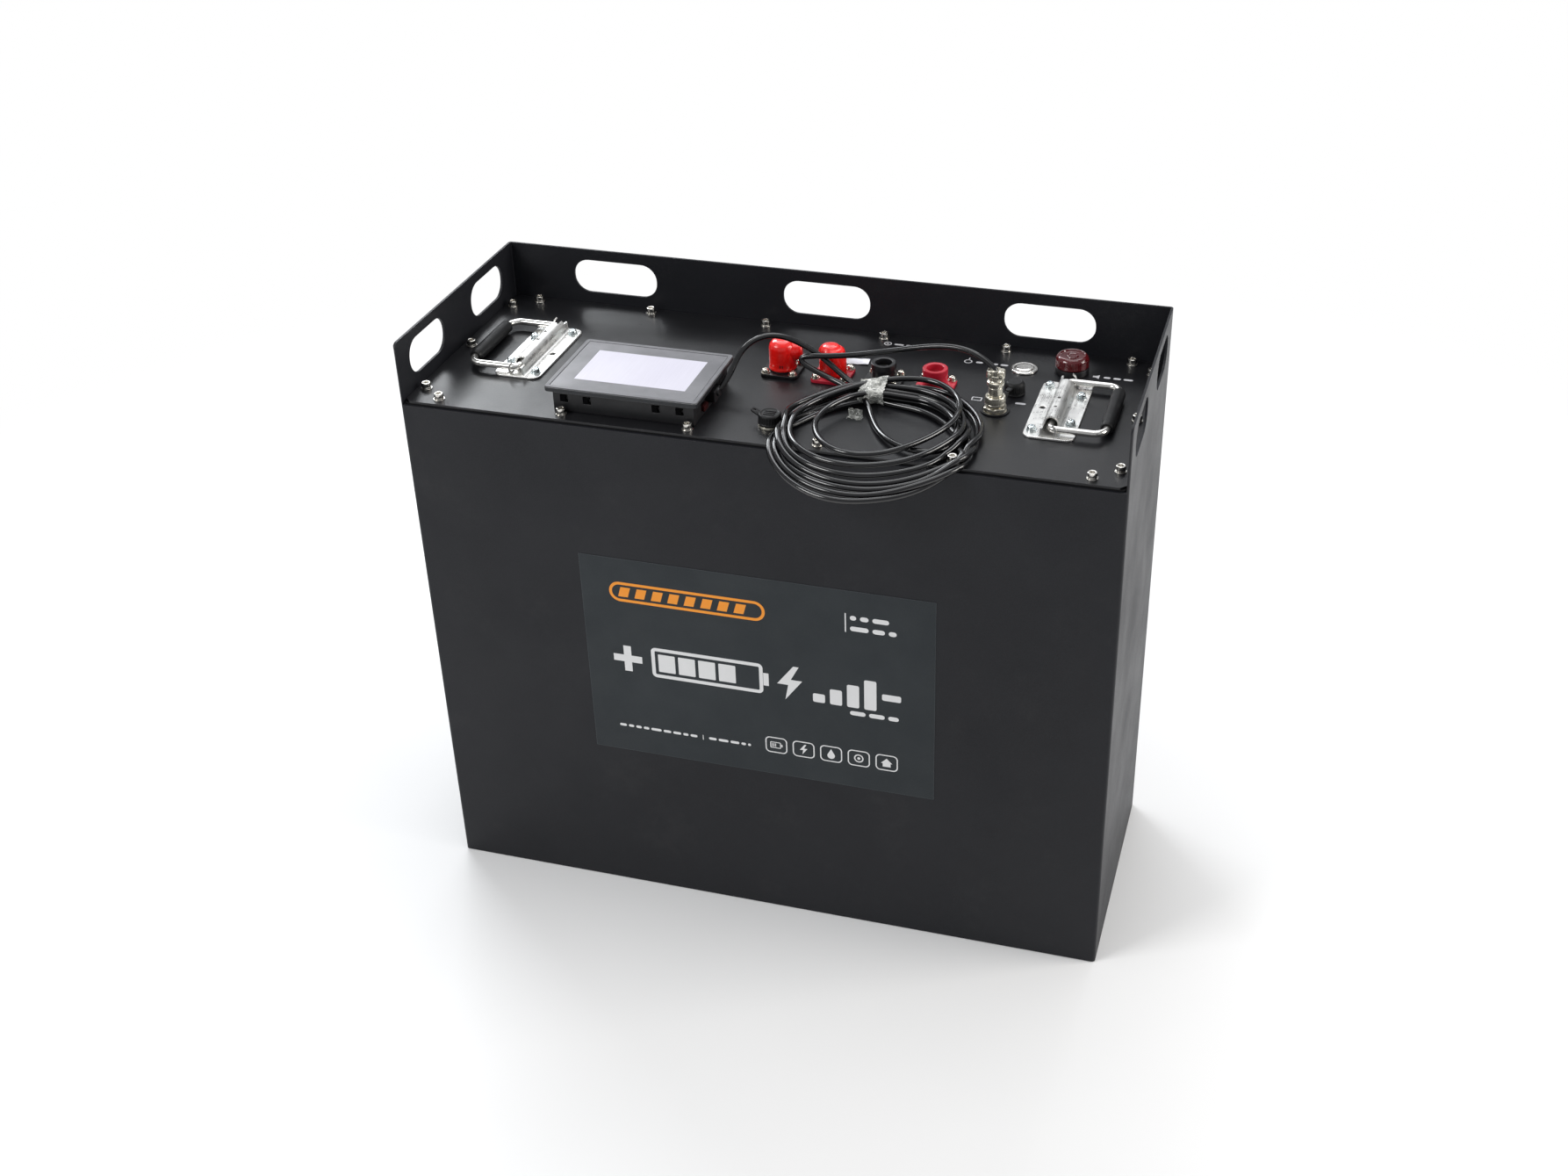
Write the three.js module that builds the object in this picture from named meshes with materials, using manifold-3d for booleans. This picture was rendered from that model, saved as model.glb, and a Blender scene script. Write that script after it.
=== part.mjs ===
// Steel-cased deep cycle traction battery: welded tray with lifting rims, screwed lid with
// touch display, folding handles, power sockets, switch, buzzer and display lead.
// Millimetres, +Z up. Origin: centre of the tray's underside. +X right along the front,
// the front wall faces -Y.
import * as THREE from "three";
import { mergeVertices } from "three/addons/utils/BufferGeometryUtils.js";
import Module from "manifold-3d";

const wasm = await Module();
wasm.setup();

// ---------- driving dimensions ----------
const TRAY_L = 624; // along X
const TRAY_D = 237; // along Y
const FRONT_H = 488; // front wall height, and the top of the lid flange
const RIM_H = 544.5; // back and side rims
const WALL = 2;
const CORNER_R = 3;
const RIM_END_R = 7; // rounded front ends of the side rims
const FLANGE_W = 22;
const FLANGE_T = 2;
const CUT_MARGIN = 5; // how far most cutting tools run past the part they cut

const GASKET_T = 1.5;
const LID_T = 2;
const LID_GAP = 0.5; // between the lid and the tray walls
const LID_Z0 = FRONT_H + GASKET_T;
const LID_TOP = LID_Z0 + LID_T;
const LID_SEAT = LID_TOP + 0.1; // underside of parts standing on the lid

const SCREW_X = [-281, -168.6, -56.2, 56.2, 168.6, 281];
const SCREW_Y = 106.5;
const SIDE_SCREW_X = 301;
const SIDE_SCREW_Y = [-90, 0, 90];
const SCREW_HOLE_R = 3.2;

// Places on the lid, [x, y].
const SWITCH = [191.5, 73.5];
const BUZZER = [232.5, 78.5];
const DISPLAY_PORT = [183, -10.5];
const COMM_PORT = [8.5, -83.5];
const DUST_CAP = [192.5, 25.5];
const SOCKET_X = [-12, 33.5, 79, 124.5];
const SOCKET_Y = 18.5;

// ---------- finishes ----------
const POWDER_BLACK = 0x2b2c30;
const ZINC = 0xb9bcc0;
const NICKEL = 0xa8a494;
const BLACK = 0x1b1c1f;
const RUBBER = 0x151517;
const FINISH = {
  tray: { color: POWDER_BLACK, roughness: 0.55, metalness: 0.3 },
  lid: { color: POWDER_BLACK, roughness: 0.45, metalness: 0.3 },
  gasket: { color: RUBBER, roughness: 0.9, metalness: 0 },
  rubber: { color: RUBBER, roughness: 0.6, metalness: 0 },
  brightNickel: { color: NICKEL, roughness: 0.3, metalness: 0.9 },
  nickel: { color: NICKEL, roughness: 0.35, metalness: 0.9 },
  zincPlate: { color: ZINC, roughness: 0.22, metalness: 0.95 },
  zincRod: { color: ZINC, roughness: 0.18, metalness: 0.95 },
  zincSwitch: { color: ZINC, roughness: 0.25, metalness: 0.95 },
  spring: { color: 0x8d8f92, roughness: 0.35, metalness: 0.9 },
  label: { color: 0x33383c, roughness: 0.6, metalness: 0 },
  blackPlastic: { color: BLACK, roughness: 0.5, metalness: 0 },
  redPlastic: { color: 0xb8323c, roughness: 0.5, metalness: 0 },
  redCap: { color: 0xe01818, roughness: 0.35, metalness: 0 },
  redLens: { color: 0x9c1c28, roughness: 0.25, metalness: 0 },
  bezel: { color: 0x505157, roughness: 0.4, metalness: 0.1 },
  screen: { color: 0xdcdcf0, roughness: 0.15, metalness: 0 },
  cable: { color: 0x17181a, roughness: 0.35, metalness: 0 },
  tape: { color: 0xb9b9ae, roughness: 0.3, metalness: 0 },
  ballast: { color: 0x55585c, roughness: 0.7, metalness: 0.6 },
  cells: { color: 0x2f6f9f, roughness: 0.5, metalness: 0.2 },
  copper: { color: 0xb87333, roughness: 0.35, metalness: 0.9 },
  shelf: { color: 0x8a8d90, roughness: 0.5, metalness: 0.8 },
  bms: { color: 0x777b80, roughness: 0.4, metalness: 0.8 },
  fuse: { color: 0x22242a, roughness: 0.5, metalness: 0 },
  positive: { color: 0xb02020, roughness: 0.5, metalness: 0 },
  negative: { color: 0x141416, roughness: 0.5, metalness: 0 },
};

// ---------- solids and meshes ----------
// A shape below is either a closed BufferGeometry or a Manifold.
function solid(shape) {
  if (!shape.isBufferGeometry) return shape;
  const bare = shape.clone();
  bare.deleteAttribute("normal");
  bare.deleteAttribute("uv");
  const merged = mergeVertices(bare, 1e-3);
  return new wasm.Manifold(
    new wasm.Mesh({
      numProp: 3,
      vertProperties: new Float32Array(merged.attributes.position.array),
      triVerts: new Uint32Array(merged.index.array),
    }),
  );
}

function geometryOf(manifold) {
  const mesh = manifold.getMesh();
  const positions = new Float32Array(mesh.vertProperties);
  const geometry = new THREE.BufferGeometry();
  geometry.setAttribute("position", new THREE.BufferAttribute(positions, 3));
  geometry.setIndex(new THREE.BufferAttribute(new Uint32Array(mesh.triVerts), 1));
  geometry.computeVertexNormals();
  return geometry;
}

const join = (...parts) => parts.map(solid).reduce((a, b) => a.add(b));
const cut = (base, ...tools) => tools.map(solid).reduce((a, b) => a.subtract(b), solid(base));

const battery = new THREE.Group();
function add(name, shape, finish, parent = battery) {
  const geometry = shape.isBufferGeometry ? shape : geometryOf(shape);
  const mesh = new THREE.Mesh(geometry, new THREE.MeshStandardMaterial(finish));
  mesh.name = name;
  parent.add(mesh);
}

// ---------- shape helpers; ranges are [low, high] ----------
const QUARTER = Math.PI / 2;

const box = ([x0, x1], [y0, y1], [z0, z1]) =>
  new THREE.BoxGeometry(x1 - x0, y1 - y0, z1 - z0).translate(
    (x0 + x1) / 2,
    (y0 + y1) / 2,
    (z0 + z1) / 2,
  );

const polygon = (points) => new THREE.Shape(points.map(([x, y]) => new THREE.Vector2(x, y)));

// Points [x, y] along an arc, both ends included.
const arcPoints = (x, y, radius, from, to, steps) =>
  Array.from({ length: steps + 1 }, (_, i) => {
    const angle = from + ((to - from) * i) / steps;
    return [x + radius * Math.cos(angle), y + radius * Math.sin(angle)];
  });

// Outline of a rounded rectangle, centred.
function roundRect(length, width, r) {
  const shape = new THREE.Shape();
  const x = length / 2;
  const y = width / 2;
  shape.moveTo(-x + r, -y);
  shape.lineTo(x - r, -y);
  shape.absarc(x - r, -y + r, r, -QUARTER, 0);
  shape.lineTo(x, y - r);
  shape.absarc(x - r, y - r, r, 0, QUARTER);
  shape.lineTo(-x + r, y);
  shape.absarc(-x + r, y - r, r, QUARTER, Math.PI);
  shape.lineTo(-x, -y + r);
  shape.absarc(-x + r, -y + r, r, Math.PI, 3 * QUARTER);
  return shape;
}

// The tray's outline moved in by an inset on every side.
const trayOutline = (inset, radius) =>
  roundRect(TRAY_L - 2 * inset, TRAY_D - 2 * inset, radius);

const extrude = (shape, depth, curveSegments = 12) =>
  new THREE.ExtrudeGeometry(shape, { depth, bevelEnabled: false, curveSegments });

const prism = (shape, [z0, z1], curveSegments) =>
  extrude(shape, z1 - z0, curveSegments).translate(0, 0, z0);

// Prism between an outer and an inner outline.
function frame(outer, inner, zRange, curveSegments) {
  outer.holes.push(new THREE.Path(inner.getPoints(curveSegments)));
  return prism(outer, zRange, curveSegments);
}

// Stands an extrusion up: outline x stays X, outline y becomes Z, depth runs to -Y.
const faceY = (geometry) => geometry.rotateX(QUARTER);
// Outline x becomes Y, outline y becomes Z, depth runs to +X.
const faceX = (geometry) => faceY(geometry).rotateZ(QUARTER);

// Upright cylinder.
const post = ([x, y], [z0, z1], radius, sides) =>
  new THREE.CylinderGeometry(radius, radius, z1 - z0, sides)
    .rotateX(QUARTER)
    .translate(x, y, (z0 + z1) / 2);

// Solid of revolution on the lid; the profile is [radius, height above the lid's top].
const turned = (profile, [x, y], segments) =>
  new THREE.LatheGeometry(profile.map(([r, z]) => new THREE.Vector2(r, z)), segments)
    .rotateX(QUARTER)
    .translate(x, y, LID_TOP);

// An extrusion path with one step per given point.
class Route extends THREE.Curve {
  constructor(points) {
    super();
    this.points = points;
  }
  getTangentAt(u) {
    const last = this.points.length - 1;
    const i = Math.round(u * last);
    const before = this.points[Math.max(i - 1, 0)];
    const after = this.points[Math.min(i + 1, last)];
    return after.clone().sub(before).normalize();
  }
  getSpacedPoints() {
    return this.points;
  }
}

const rod = (points, radius, sides) =>
  new THREE.ExtrudeGeometry(
    polygon(arcPoints(0, 0, radius, 0, 2 * Math.PI, sides).slice(0, -1)),
    { extrudePath: new Route(points), steps: points.length - 1, bevelEnabled: false },
  );

const vectors = (rows) => rows.map((row) => new THREE.Vector3(...row));

// Evenly spaced points on a smooth curve through rows of [x, y, z].
const smooth = (rows, steps) =>
  new THREE.CatmullRomCurve3(vectors(rows), false, "centripetal").getSpacedPoints(steps);

// ---------- screw places ----------
const SCREW_ROWS = {
  front: SCREW_X.map((x) => [x, -SCREW_Y]),
  back: SCREW_X.map((x) => [x, SCREW_Y]),
  left: SIDE_SCREW_Y.map((y) => [-SIDE_SCREW_X, y]),
  right: SIDE_SCREW_Y.map((y) => [SIDE_SCREW_X, y]),
};
const screwHoles = (z0, z1) =>
  Object.values(SCREW_ROWS)
    .flat()
    .map((place) => post(place, [z0 - CUT_MARGIN, z1 + CUT_MARGIN], SCREW_HOLE_R, 6));

// ---------- tray ----------
const HAND_HOLE_H = 32;
const HAND_HOLE_R = 15;
const BACK_HOLE = { length: 82, z: 518.3, x: [-206, -0.5, 205] };
const SIDE_HOLE = { length: 66, z: 519.3, y: [-62.7, 58.5] };

const handHole = (length) =>
  prism(roundRect(length, HAND_HOLE_H, HAND_HOLE_R), [-8, 8], 4);

function handHoles() {
  const wallX = TRAY_L / 2 - WALL / 2;
  const wallY = TRAY_D / 2 - WALL / 2;
  return [
    ...BACK_HOLE.x.map((x) =>
      faceY(handHole(BACK_HOLE.length)).translate(x, wallY, BACK_HOLE.z),
    ),
    ...SIDE_HOLE.y.flatMap((y) =>
      [-wallX, wallX].map((x) =>
        faceX(handHole(SIDE_HOLE.length)).translate(x, y, SIDE_HOLE.z),
      ),
    ),
  ];
}

// Clears the front above the flange.
const frontOpening = () =>
  box(
    [-TRAY_L / 2 + WALL, TRAY_L / 2 - WALL],
    [-TRAY_D / 2 - CUT_MARGIN, -TRAY_D / 2 + WALL + 2],
    [FRONT_H, RIM_H + CUT_MARGIN],
  );

// Rounds the top front corners of both side rims.
function rimEndCutter() {
  const r = RIM_END_R;
  const outline = polygon([
    [-r - CUT_MARGIN, CUT_MARGIN],
    [-r - CUT_MARGIN, -CUT_MARGIN - r],
    [-r, -CUT_MARGIN - r],
    ...arcPoints(0, -r, r, Math.PI, QUARTER, 6),
    [CUT_MARGIN, 0],
    [CUT_MARGIN, CUT_MARGIN],
  ]);
  return faceX(extrude(outline, TRAY_L + 20)).translate(
    -TRAY_L / 2 - 10,
    -TRAY_D / 2 + r,
    RIM_H,
  );
}

add(
  "tray",
  cut(
    join(
      prism(trayOutline(0, CORNER_R), [0, WALL], 3),
      frame(trayOutline(0, CORNER_R), trayOutline(WALL, CORNER_R - WALL), [0, RIM_H], 3),
      frame(
        trayOutline(WALL / 2, 1.5),
        trayOutline(FLANGE_W + WALL, 4),
        [FRONT_H - FLANGE_T, FRONT_H],
        3,
      ),
    ),
    frontOpening(),
    rimEndCutter(),
    ...handHoles(),
    ...screwHoles(FRONT_H, FRONT_H),
  ),
  FINISH.tray,
);

// ---------- lid and gasket ----------
add(
  "lid_gasket",
  cut(
    frame(
      trayOutline(WALL + LID_GAP + 0.3, 2),
      trayOutline(FLANGE_W + 1, 4),
      [FRONT_H, LID_Z0],
      2,
    ),
    ...screwHoles(FRONT_H, LID_Z0),
  ),
  FINISH.gasket,
);
{
  const notch = 5; // corners are cut off at 45 degrees
  const x = TRAY_L / 2 - WALL - LID_GAP;
  const y = TRAY_D / 2 - WALL - LID_GAP;
  const outline = polygon([
    [-x + notch, -y], [x - notch, -y], [x, -y + notch], [x, y - notch],
    [x - notch, y], [-x + notch, y], [-x, y - notch], [-x, -y + notch],
  ]);
  const hole = (place, radius) =>
    post(place, [LID_Z0 - CUT_MARGIN, LID_TOP + CUT_MARGIN], radius, 16);
  add(
    "lid_plate",
    cut(
      prism(outline, [LID_Z0, LID_TOP], 2),
      ...screwHoles(LID_Z0, LID_TOP),
      ...SOCKET_X.map((socketX) => hole([socketX, SOCKET_Y], 11.5)),
      hole(SWITCH, 10),
      hole(BUZZER, 11.6),
      hole(DISPLAY_PORT, 8.2),
      hole(COMM_PORT, 8.2),
    ),
    FINISH.lid,
  );
}

// ---------- lid screws: socket cap screw with spring and flat washer ----------
const SCREW_PROFILE = [
  [0, -14], [2.5, -14], [2.5, 0.05], // shank
  [5, 0.05], [5, 1.1], // washers
  [4.25, 1.1], [4.25, 7], [0, 7], // head
];
for (const [side, places] of Object.entries(SCREW_ROWS)) {
  places.forEach((place, i) =>
    add(`lid_screw_${side}_${i + 1}`, turned(SCREW_PROFILE, place, 8), FINISH.brightNickel),
  );
}

// ---------- front label ----------
const LABEL_L = 320;
const LABEL_H = 207;
const LABEL_Z = 260; // centre
add(
  "front_label",
  box(
    [-LABEL_L / 2, LABEL_L / 2],
    [-TRAY_D / 2 - 0.35, -TRAY_D / 2 - 0.05],
    [LABEL_Z - LABEL_H / 2, LABEL_Z + LABEL_H / 2],
  ),
  FINISH.label,
);

// ---------- touch display ----------
const DISPLAY_X = -114.6; // centre of the display
const DISPLAY_Y = -58.15;
const BEZEL_L = 135.6;
const BEZEL_W = 97.1;
const BEZEL_TOP = 516;
const BEZEL_T = 4.7;
const HOUSING_L = 125.5;
const HOUSING_W = 85.8;
{
  const x0 = DISPLAY_X - HOUSING_L / 2;
  const x1 = DISPLAY_X + HOUSING_L / 2;
  const y0 = DISPLAY_Y - HOUSING_W / 2 + 0.3;
  const y1 = DISPLAY_Y + HOUSING_W / 2;
  const z1 = BEZEL_TOP - BEZEL_T - 0.2;
  const frontNotches = [x0 + 10, x0 + 30.5, x1 - 33.5, x1 - 12.5].map((x) =>
    box([x - 3.5, x + 3.5], [y0 - 2, y0 + 2.2], [z1 - 11, z1 - 4]),
  );
  const rightRecess = box([x1 - 3, x1 + 2], [y0 + 18, y0 + 44], [LID_TOP + 4, z1 - 5]);
  add(
    "display_housing",
    cut(box([x0, x1], [y0, y1], [LID_SEAT, z1]), ...frontNotches, rightRecess),
    FINISH.blackPlastic,
  );

  // Rounded slab smaller than the bezel by a trim; zRange is measured from the bezel's top.
  const slab = (trim, radius, [low, high], curveSegments) =>
    prism(
      roundRect(BEZEL_L - trim, BEZEL_W - trim, radius),
      [BEZEL_TOP + low, BEZEL_TOP + high],
      curveSegments,
    ).translate(DISPLAY_X, DISPLAY_Y, 0);
  add(
    "display_bezel",
    cut(slab(0, 3, [-BEZEL_T, 0], 3), slab(8, 1.5, [-1.4, 2], 2)),
    FINISH.bezel,
  );
  add("display_screen", slab(8.8, 1.2, [-1.2, -0.2], 2), FINISH.screen);
}

// ---------- folding handles ----------
// In a handle's own frame x runs from the pivot axis towards the grip, y along the pivot,
// z above the lid.
const HANDLE_X = 235; // plate centres at +-X
const PLATE_L = 105; // along Y
const PLATE_W = 43;
const PLATE_T = 2;
const PIVOT_H = 7; // pivot axis above the lid
const CHANNEL_R = 6.8; // outside of the arched channel over the pivot
const CHANNEL_BORE_R = 5.3;
const ROD_R = 3;
const LEG_Y = 45; // half distance between the bail's legs
const REACH = 45.5; // pivot axis to grip axis
const PIVOT_BEND_R = 3.5;
const GRIP_BEND_R = 10;
const GRIP_R = 5.6;
const GRIP_L = 68;
const SPRING = { r: 4.2, wireR: 0.6, startY: 16, length: 14, turns: 5, stepsPerTurn: 8 };

function handlePlate() {
  const footZ = PLATE_T - 1; // the channel's feet sink into the plate
  const arch = polygon([
    [-CHANNEL_R, footZ],
    ...arcPoints(0, PIVOT_H, CHANNEL_R, Math.PI, 0, 10),
    [CHANNEL_R, footZ],
    [CHANNEL_BORE_R, footZ],
    ...arcPoints(0, PIVOT_H, CHANNEL_BORE_R, 0, Math.PI, 10),
    [-CHANNEL_BORE_R, footZ],
  ]);
  const half = PLATE_L / 2 - 2;
  const legWindow = (yRange) => box([-3.9, 12], yRange, [3.2, 20]);
  return cut(
    join(
      prism(roundRect(PLATE_W, PLATE_L, 8), [0.1, PLATE_T], 4),
      faceY(extrude(arch, 2 * half)).translate(0, half, 0),
    ),
    legWindow([LEG_Y - 8.8, LEG_Y + 3.9]),
    legWindow([-LEG_Y - 3.9, -LEG_Y + 8.8]),
    post([0, 0], [PIVOT_H + 3, 20], 1.6, 10), // hole in the channel's crown
    post([-14, 2], [-2, 5], 2.6, 12), // hole in the plate
  );
}

function handleBail() {
  const pivot = PIVOT_BEND_R;
  const grip = GRIP_BEND_R;
  const route = [
    [0, 3],
    ...arcPoints(pivot, LEG_Y - pivot, pivot, Math.PI, QUARTER, 4),
    ...arcPoints(REACH - grip, LEG_Y - grip, grip, QUARTER, 0, 5),
    ...arcPoints(REACH - grip, -LEG_Y + grip, grip, 0, -QUARTER, 5),
    ...arcPoints(pivot, -LEG_Y + pivot, pivot, -QUARTER, -Math.PI, 4),
    [0, -3],
  ];
  return rod(vectors(route.map(([x, y]) => [x, y, PIVOT_H])), ROD_R, 8);
}

function handleGrip() {
  const sleeve = new THREE.Shape().absarc(0, 0, GRIP_R, 0, 2 * Math.PI);
  sleeve.holes.push(new THREE.Path().absarc(0, 0, ROD_R + 0.35, 0, 2 * Math.PI));
  return solid(faceY(extrude(sleeve, GRIP_L, 14)).translate(REACH, GRIP_L / 2, PIVOT_H));
}

function handleSpring() {
  const { r, wireR, startY, length, turns, stepsPerTurn } = SPRING;
  const steps = turns * stepsPerTurn;
  const rows = arcPoints(0, PIVOT_H, r, 0, 2 * Math.PI * turns, steps).map(([x, z], i) => [
    x,
    startY + (length * i) / steps,
    z,
  ]);
  return rod(vectors(rows), wireR, 4);
}

function handle(prefix, side) {
  const group = new THREE.Group();
  group.position.set(side * HANDLE_X, 0, LID_TOP);
  group.rotation.z = side > 0 ? 0 : Math.PI;
  battery.add(group);
  add(prefix + "_handle_plate", handlePlate(), FINISH.zincPlate, group);
  add(prefix + "_handle_bail", handleBail(), FINISH.zincRod, group);
  add(prefix + "_handle_grip", handleGrip(), FINISH.rubber, group);
  add(prefix + "_handle_spring", handleSpring(), FINISH.spring, group);
}
handle("left", -1);
handle("right", 1);

// ---------- power sockets ----------
const SOCKET_FLANGE = 33;
const SOCKET_PROFILE = [
  [0, -25.5], [3.5, -25.5], [3.5, -17.5], // rear stud
  [10.6, -17.5], [10.6, 3.5], [10.2, 13.5], [10.9, 14.5], [10.9, 19.5], // barrel
  [7, 19.5], [7, -7.5], // bore
  [4, -7.5], [4, 10.5], [0, 10.5], // contact pin
];
SOCKET_X.forEach((x, i) => {
  const place = [x, SOCKET_Y];
  const flange = prism(
    roundRect(SOCKET_FLANGE, SOCKET_FLANGE, 4),
    [LID_SEAT, LID_SEAT + 3],
    2,
  ).translate(...place, 0);
  add(
    `power_socket_${i + 1}`,
    join(
      turned(SOCKET_PROFILE, place, 16),
      cut(flange, post(place, [LID_TOP - 2, LID_TOP + 6], 9, 12)),
    ),
    i % 2 === 1 ? FINISH.redPlastic : FINISH.blackPlastic,
  );
});

// Caps on the two left sockets, each with a tapered snout pointing sideways.
const CAP_TOP = 522;
const CAP_PROFILE = [
  [0, 5.5], [12, 3.7], [12, 26.5], [10.8, 29.2], [8, 30.5], [0, 30.5],
];
const CAP_SNOUTS = [
  { length: 17.5, angle: 0.25 }, // angle from +X, radians
  { length: 14, angle: 2.3 },
];
CAP_SNOUTS.forEach(({ length, angle }, i) => {
  const place = [SOCKET_X[i], SOCKET_Y];
  const snout = new THREE.CylinderGeometry(8.2, 9.2, length, 14)
    .rotateZ(-QUARTER)
    .translate(length / 2, 0, 0)
    .rotateZ(angle)
    .translate(...place, CAP_TOP - 11);
  add(
    `socket_${i + 1}_cap`,
    cut(join(turned(CAP_PROFILE, place, 18), snout), post(place, [490, 512.5], 11.3, 18)),
    FINISH.redCap,
  );
});

// ---------- buzzer ----------
const BUZZER_BASE = [
  [0, -31.5], [10.9, -31.5], [10.9, 0.1], [14.65, 0.1], [14.65, 6.3], [0, 6.3],
];
const BUZZER_LENS = [[0, 6.6], [14.65, 6.6], [14.65, 14.5], [12.6, 17], [0, 17]];
add("buzzer_base", turned(BUZZER_BASE, BUZZER, 16), FINISH.blackPlastic);
add("buzzer_lens", turned(BUZZER_LENS, BUZZER, 16), FINISH.redLens);

// ---------- push switch ----------
const SWITCH_BODY = [
  [0, -25.5], [9.3, -25.5], [9.3, 0.1], [12, 0.1], [12, 1.3],
  [11, 2.1], [9, 2.1], [8.7, -3.5], [0, -3.5],
];
const SWITCH_BUTTON = [[0, -0.6], [8.3, -0.6], [8.3, 2.3], [6, 2.9], [0, 3.2]];
add("switch_body", turned(SWITCH_BODY, SWITCH, 16), FINISH.zincSwitch);
add("switch_button", turned(SWITCH_BUTTON, SWITCH, 16), FINISH.zincSwitch);

// ---------- display connector ----------
const PORT_PROFILE = [
  [0, -19.5], [7.7, -19.5], [7.7, 0.1], [9.9, 0.1],
  [9.9, 1.1], [6.3, 1.2], [6.3, 12], [0, 12],
];
const PLUG_RING = [
  [6.8, 6.6], [8.75, 6.6], [8.75, 14.6], [6.4, 14.6], [6.4, 13.8], [6.8, 13.6], [6.8, 6.6],
];
const PLUG = [
  [0, 12.2], [6.3, 12.2], [6.3, 13.2], [5.9, 13.3], [5.9, 24.5], [7.25, 25],
  [7.25, 28], [5.2, 28.5], [5.2, 31], [7.2, 31.5], [7.2, 38.5], [0, 38.5],
];
const DUST_CAP_PROFILE = [
  [0, 9], [8, 9], [8, 0.2], [9, 0.2], [9, 8.5], [7.4, 11.5], [0, 12.3],
];
const portNut = post(DISPLAY_PORT, [LID_TOP + 1, LID_TOP + 5], 10.1, 6);
add(
  "display_socket",
  join(turned(PORT_PROFILE, DISPLAY_PORT, 14), portNut),
  FINISH.brightNickel,
);
add("display_plug_ring", turned(PLUG_RING, DISPLAY_PORT, 14), FINISH.nickel);
add("display_plug", turned(PLUG, DISPLAY_PORT, 14), FINISH.brightNickel);
add("display_dust_cap", turned(DUST_CAP_PROFILE, DUST_CAP, 12), FINISH.rubber);

// ---------- communication port ----------
const COMM_PROFILE = [
  [0, -17.5], [7.7, -17.5], [7.7, 0.1], [10, 0.1], [10, 2.6], [7.6, 2.8], [7.6, 6], [0, 6],
];
const COMM_CAP = [
  [0, 6.3], [8, 6.3], [8, 3.1], [10, 3.1], [10, 11.5], [9, 12.5], [0, 12.5],
];
add("comm_port", turned(COMM_PROFILE, COMM_PORT, 14), FINISH.nickel);
add("comm_port_cap", turned(COMM_CAP, COMM_PORT, 14), FINISH.rubber);

// ---------- coiled display lead and its tape ----------
// The coil is a ring of elliptical section, stretched along Y and rising to the back.
const COIL = {
  x: 100, y: -80.5, z: 500.1, r: 68, halfW: 12.5, halfH: 5, stretch: 1.04, slope: 0.075,
};
const LEAD_R = 2.6;
// Lead routes, [x, y, z]; x and y are measured from the tray's front left corner.
const DISPLAY_END = [
  [263.2, 66, 501.5], [270.5, 70, 504.5], [273, 80, 514], [276, 93, 526.5],
  [286.3, 105, 537], [301.2, 115, 538], [314, 119, 532], [328.6, 119.5, 525],
  [345, 118, 515], [358, 113, 506], [374, 106, 502.5], [380, 104, 501.5],
];
const LOOP_END = [
  [312, 117, 514.5], [333.8, 116, 508], [348, 113, 503.5], [364, 107, 501.5],
  [376, 102, 501],
];
const PLUG_END = [
  [312, 117, 515.5], [336.3, 118, 519.4], [359.6, 118, 521.4], [384.8, 120, 526.8],
  [409.7, 121, 532], [434.9, 121, 538], [460.7, 118, 541.5], [475.5, 114, 541.2],
  [487.9, 110, 538], [495, 108, 534.6],
];

function coil(grow) {
  const section = Array.from({ length: 9 }, (_, i) => {
    const angle = (2 * Math.PI * (i % 8)) / 8;
    return new THREE.Vector2(
      COIL.r + (COIL.halfW + grow) * Math.cos(angle),
      (COIL.halfH + grow) * Math.sin(angle),
    );
  });
  return new THREE.LatheGeometry(section, 26)
    .rotateX(QUARTER)
    .scale(1, COIL.stretch, 1)
    .rotateX(Math.atan(COIL.slope))
    .translate(COIL.x, COIL.y, COIL.z);
}

function lead(rows, steps) {
  const placed = rows.map(([x, y, z]) => [x - TRAY_L / 2, y - TRAY_D / 2, z]);
  return rod(smooth(placed, steps), LEAD_R, 6);
}

add(
  "display_cable",
  cut(
    join(
      coil(0),
      lead(DISPLAY_END, 16),
      lead(LOOP_END, 6),
      lead(PLUG_END, 16),
      // Fold where the loop and plug ends meet.
      new THREE.SphereGeometry(LEAD_R + 0.6, 8, 6).translate(0, -1.5, 515),
      post(DISPLAY_PORT, [LID_TOP + 38.8, 536], LEAD_R + 0.2, 8),
    ),
    // Room for the fifth front screw.
    post([SCREW_X[4], -SCREW_Y], [480, LID_TOP + 8], 6.2, 12),
  ),
  FINISH.cable,
);
add(
  "cable_tape",
  cut(coil(1.3), coil(0.4)).intersect(solid(box([74, 98], [-60, 20], [480, 530]))),
  FINISH.tape,
);

// ---------- inside the tray ----------
const STACK_GAP = 0.3; // between stacked parts
const BALLAST_TOP = 122;
const MODULE_Z0 = BALLAST_TOP + STACK_GAP;
const MODULE_H = 212; // to the top of the terminals
const MODULE_X = 130; // module centres at +-X
const MODULE_HALF_L = 114;
const CELL_PITCH = 54.5;
const TERMINAL_Y = 50;
const TERMINAL_R = 8;
const TERMINAL_TOP = MODULE_Z0 + MODULE_H;
const SHELF_TOP = 374;
const SHELF_T = 2;
const SHELF_HALF_L = 272;

add(
  "ballast_block",
  prism(roundRect(598, 212, 4), [WALL + STACK_GAP, BALLAST_TOP], 1),
  FINISH.ballast,
);

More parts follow.
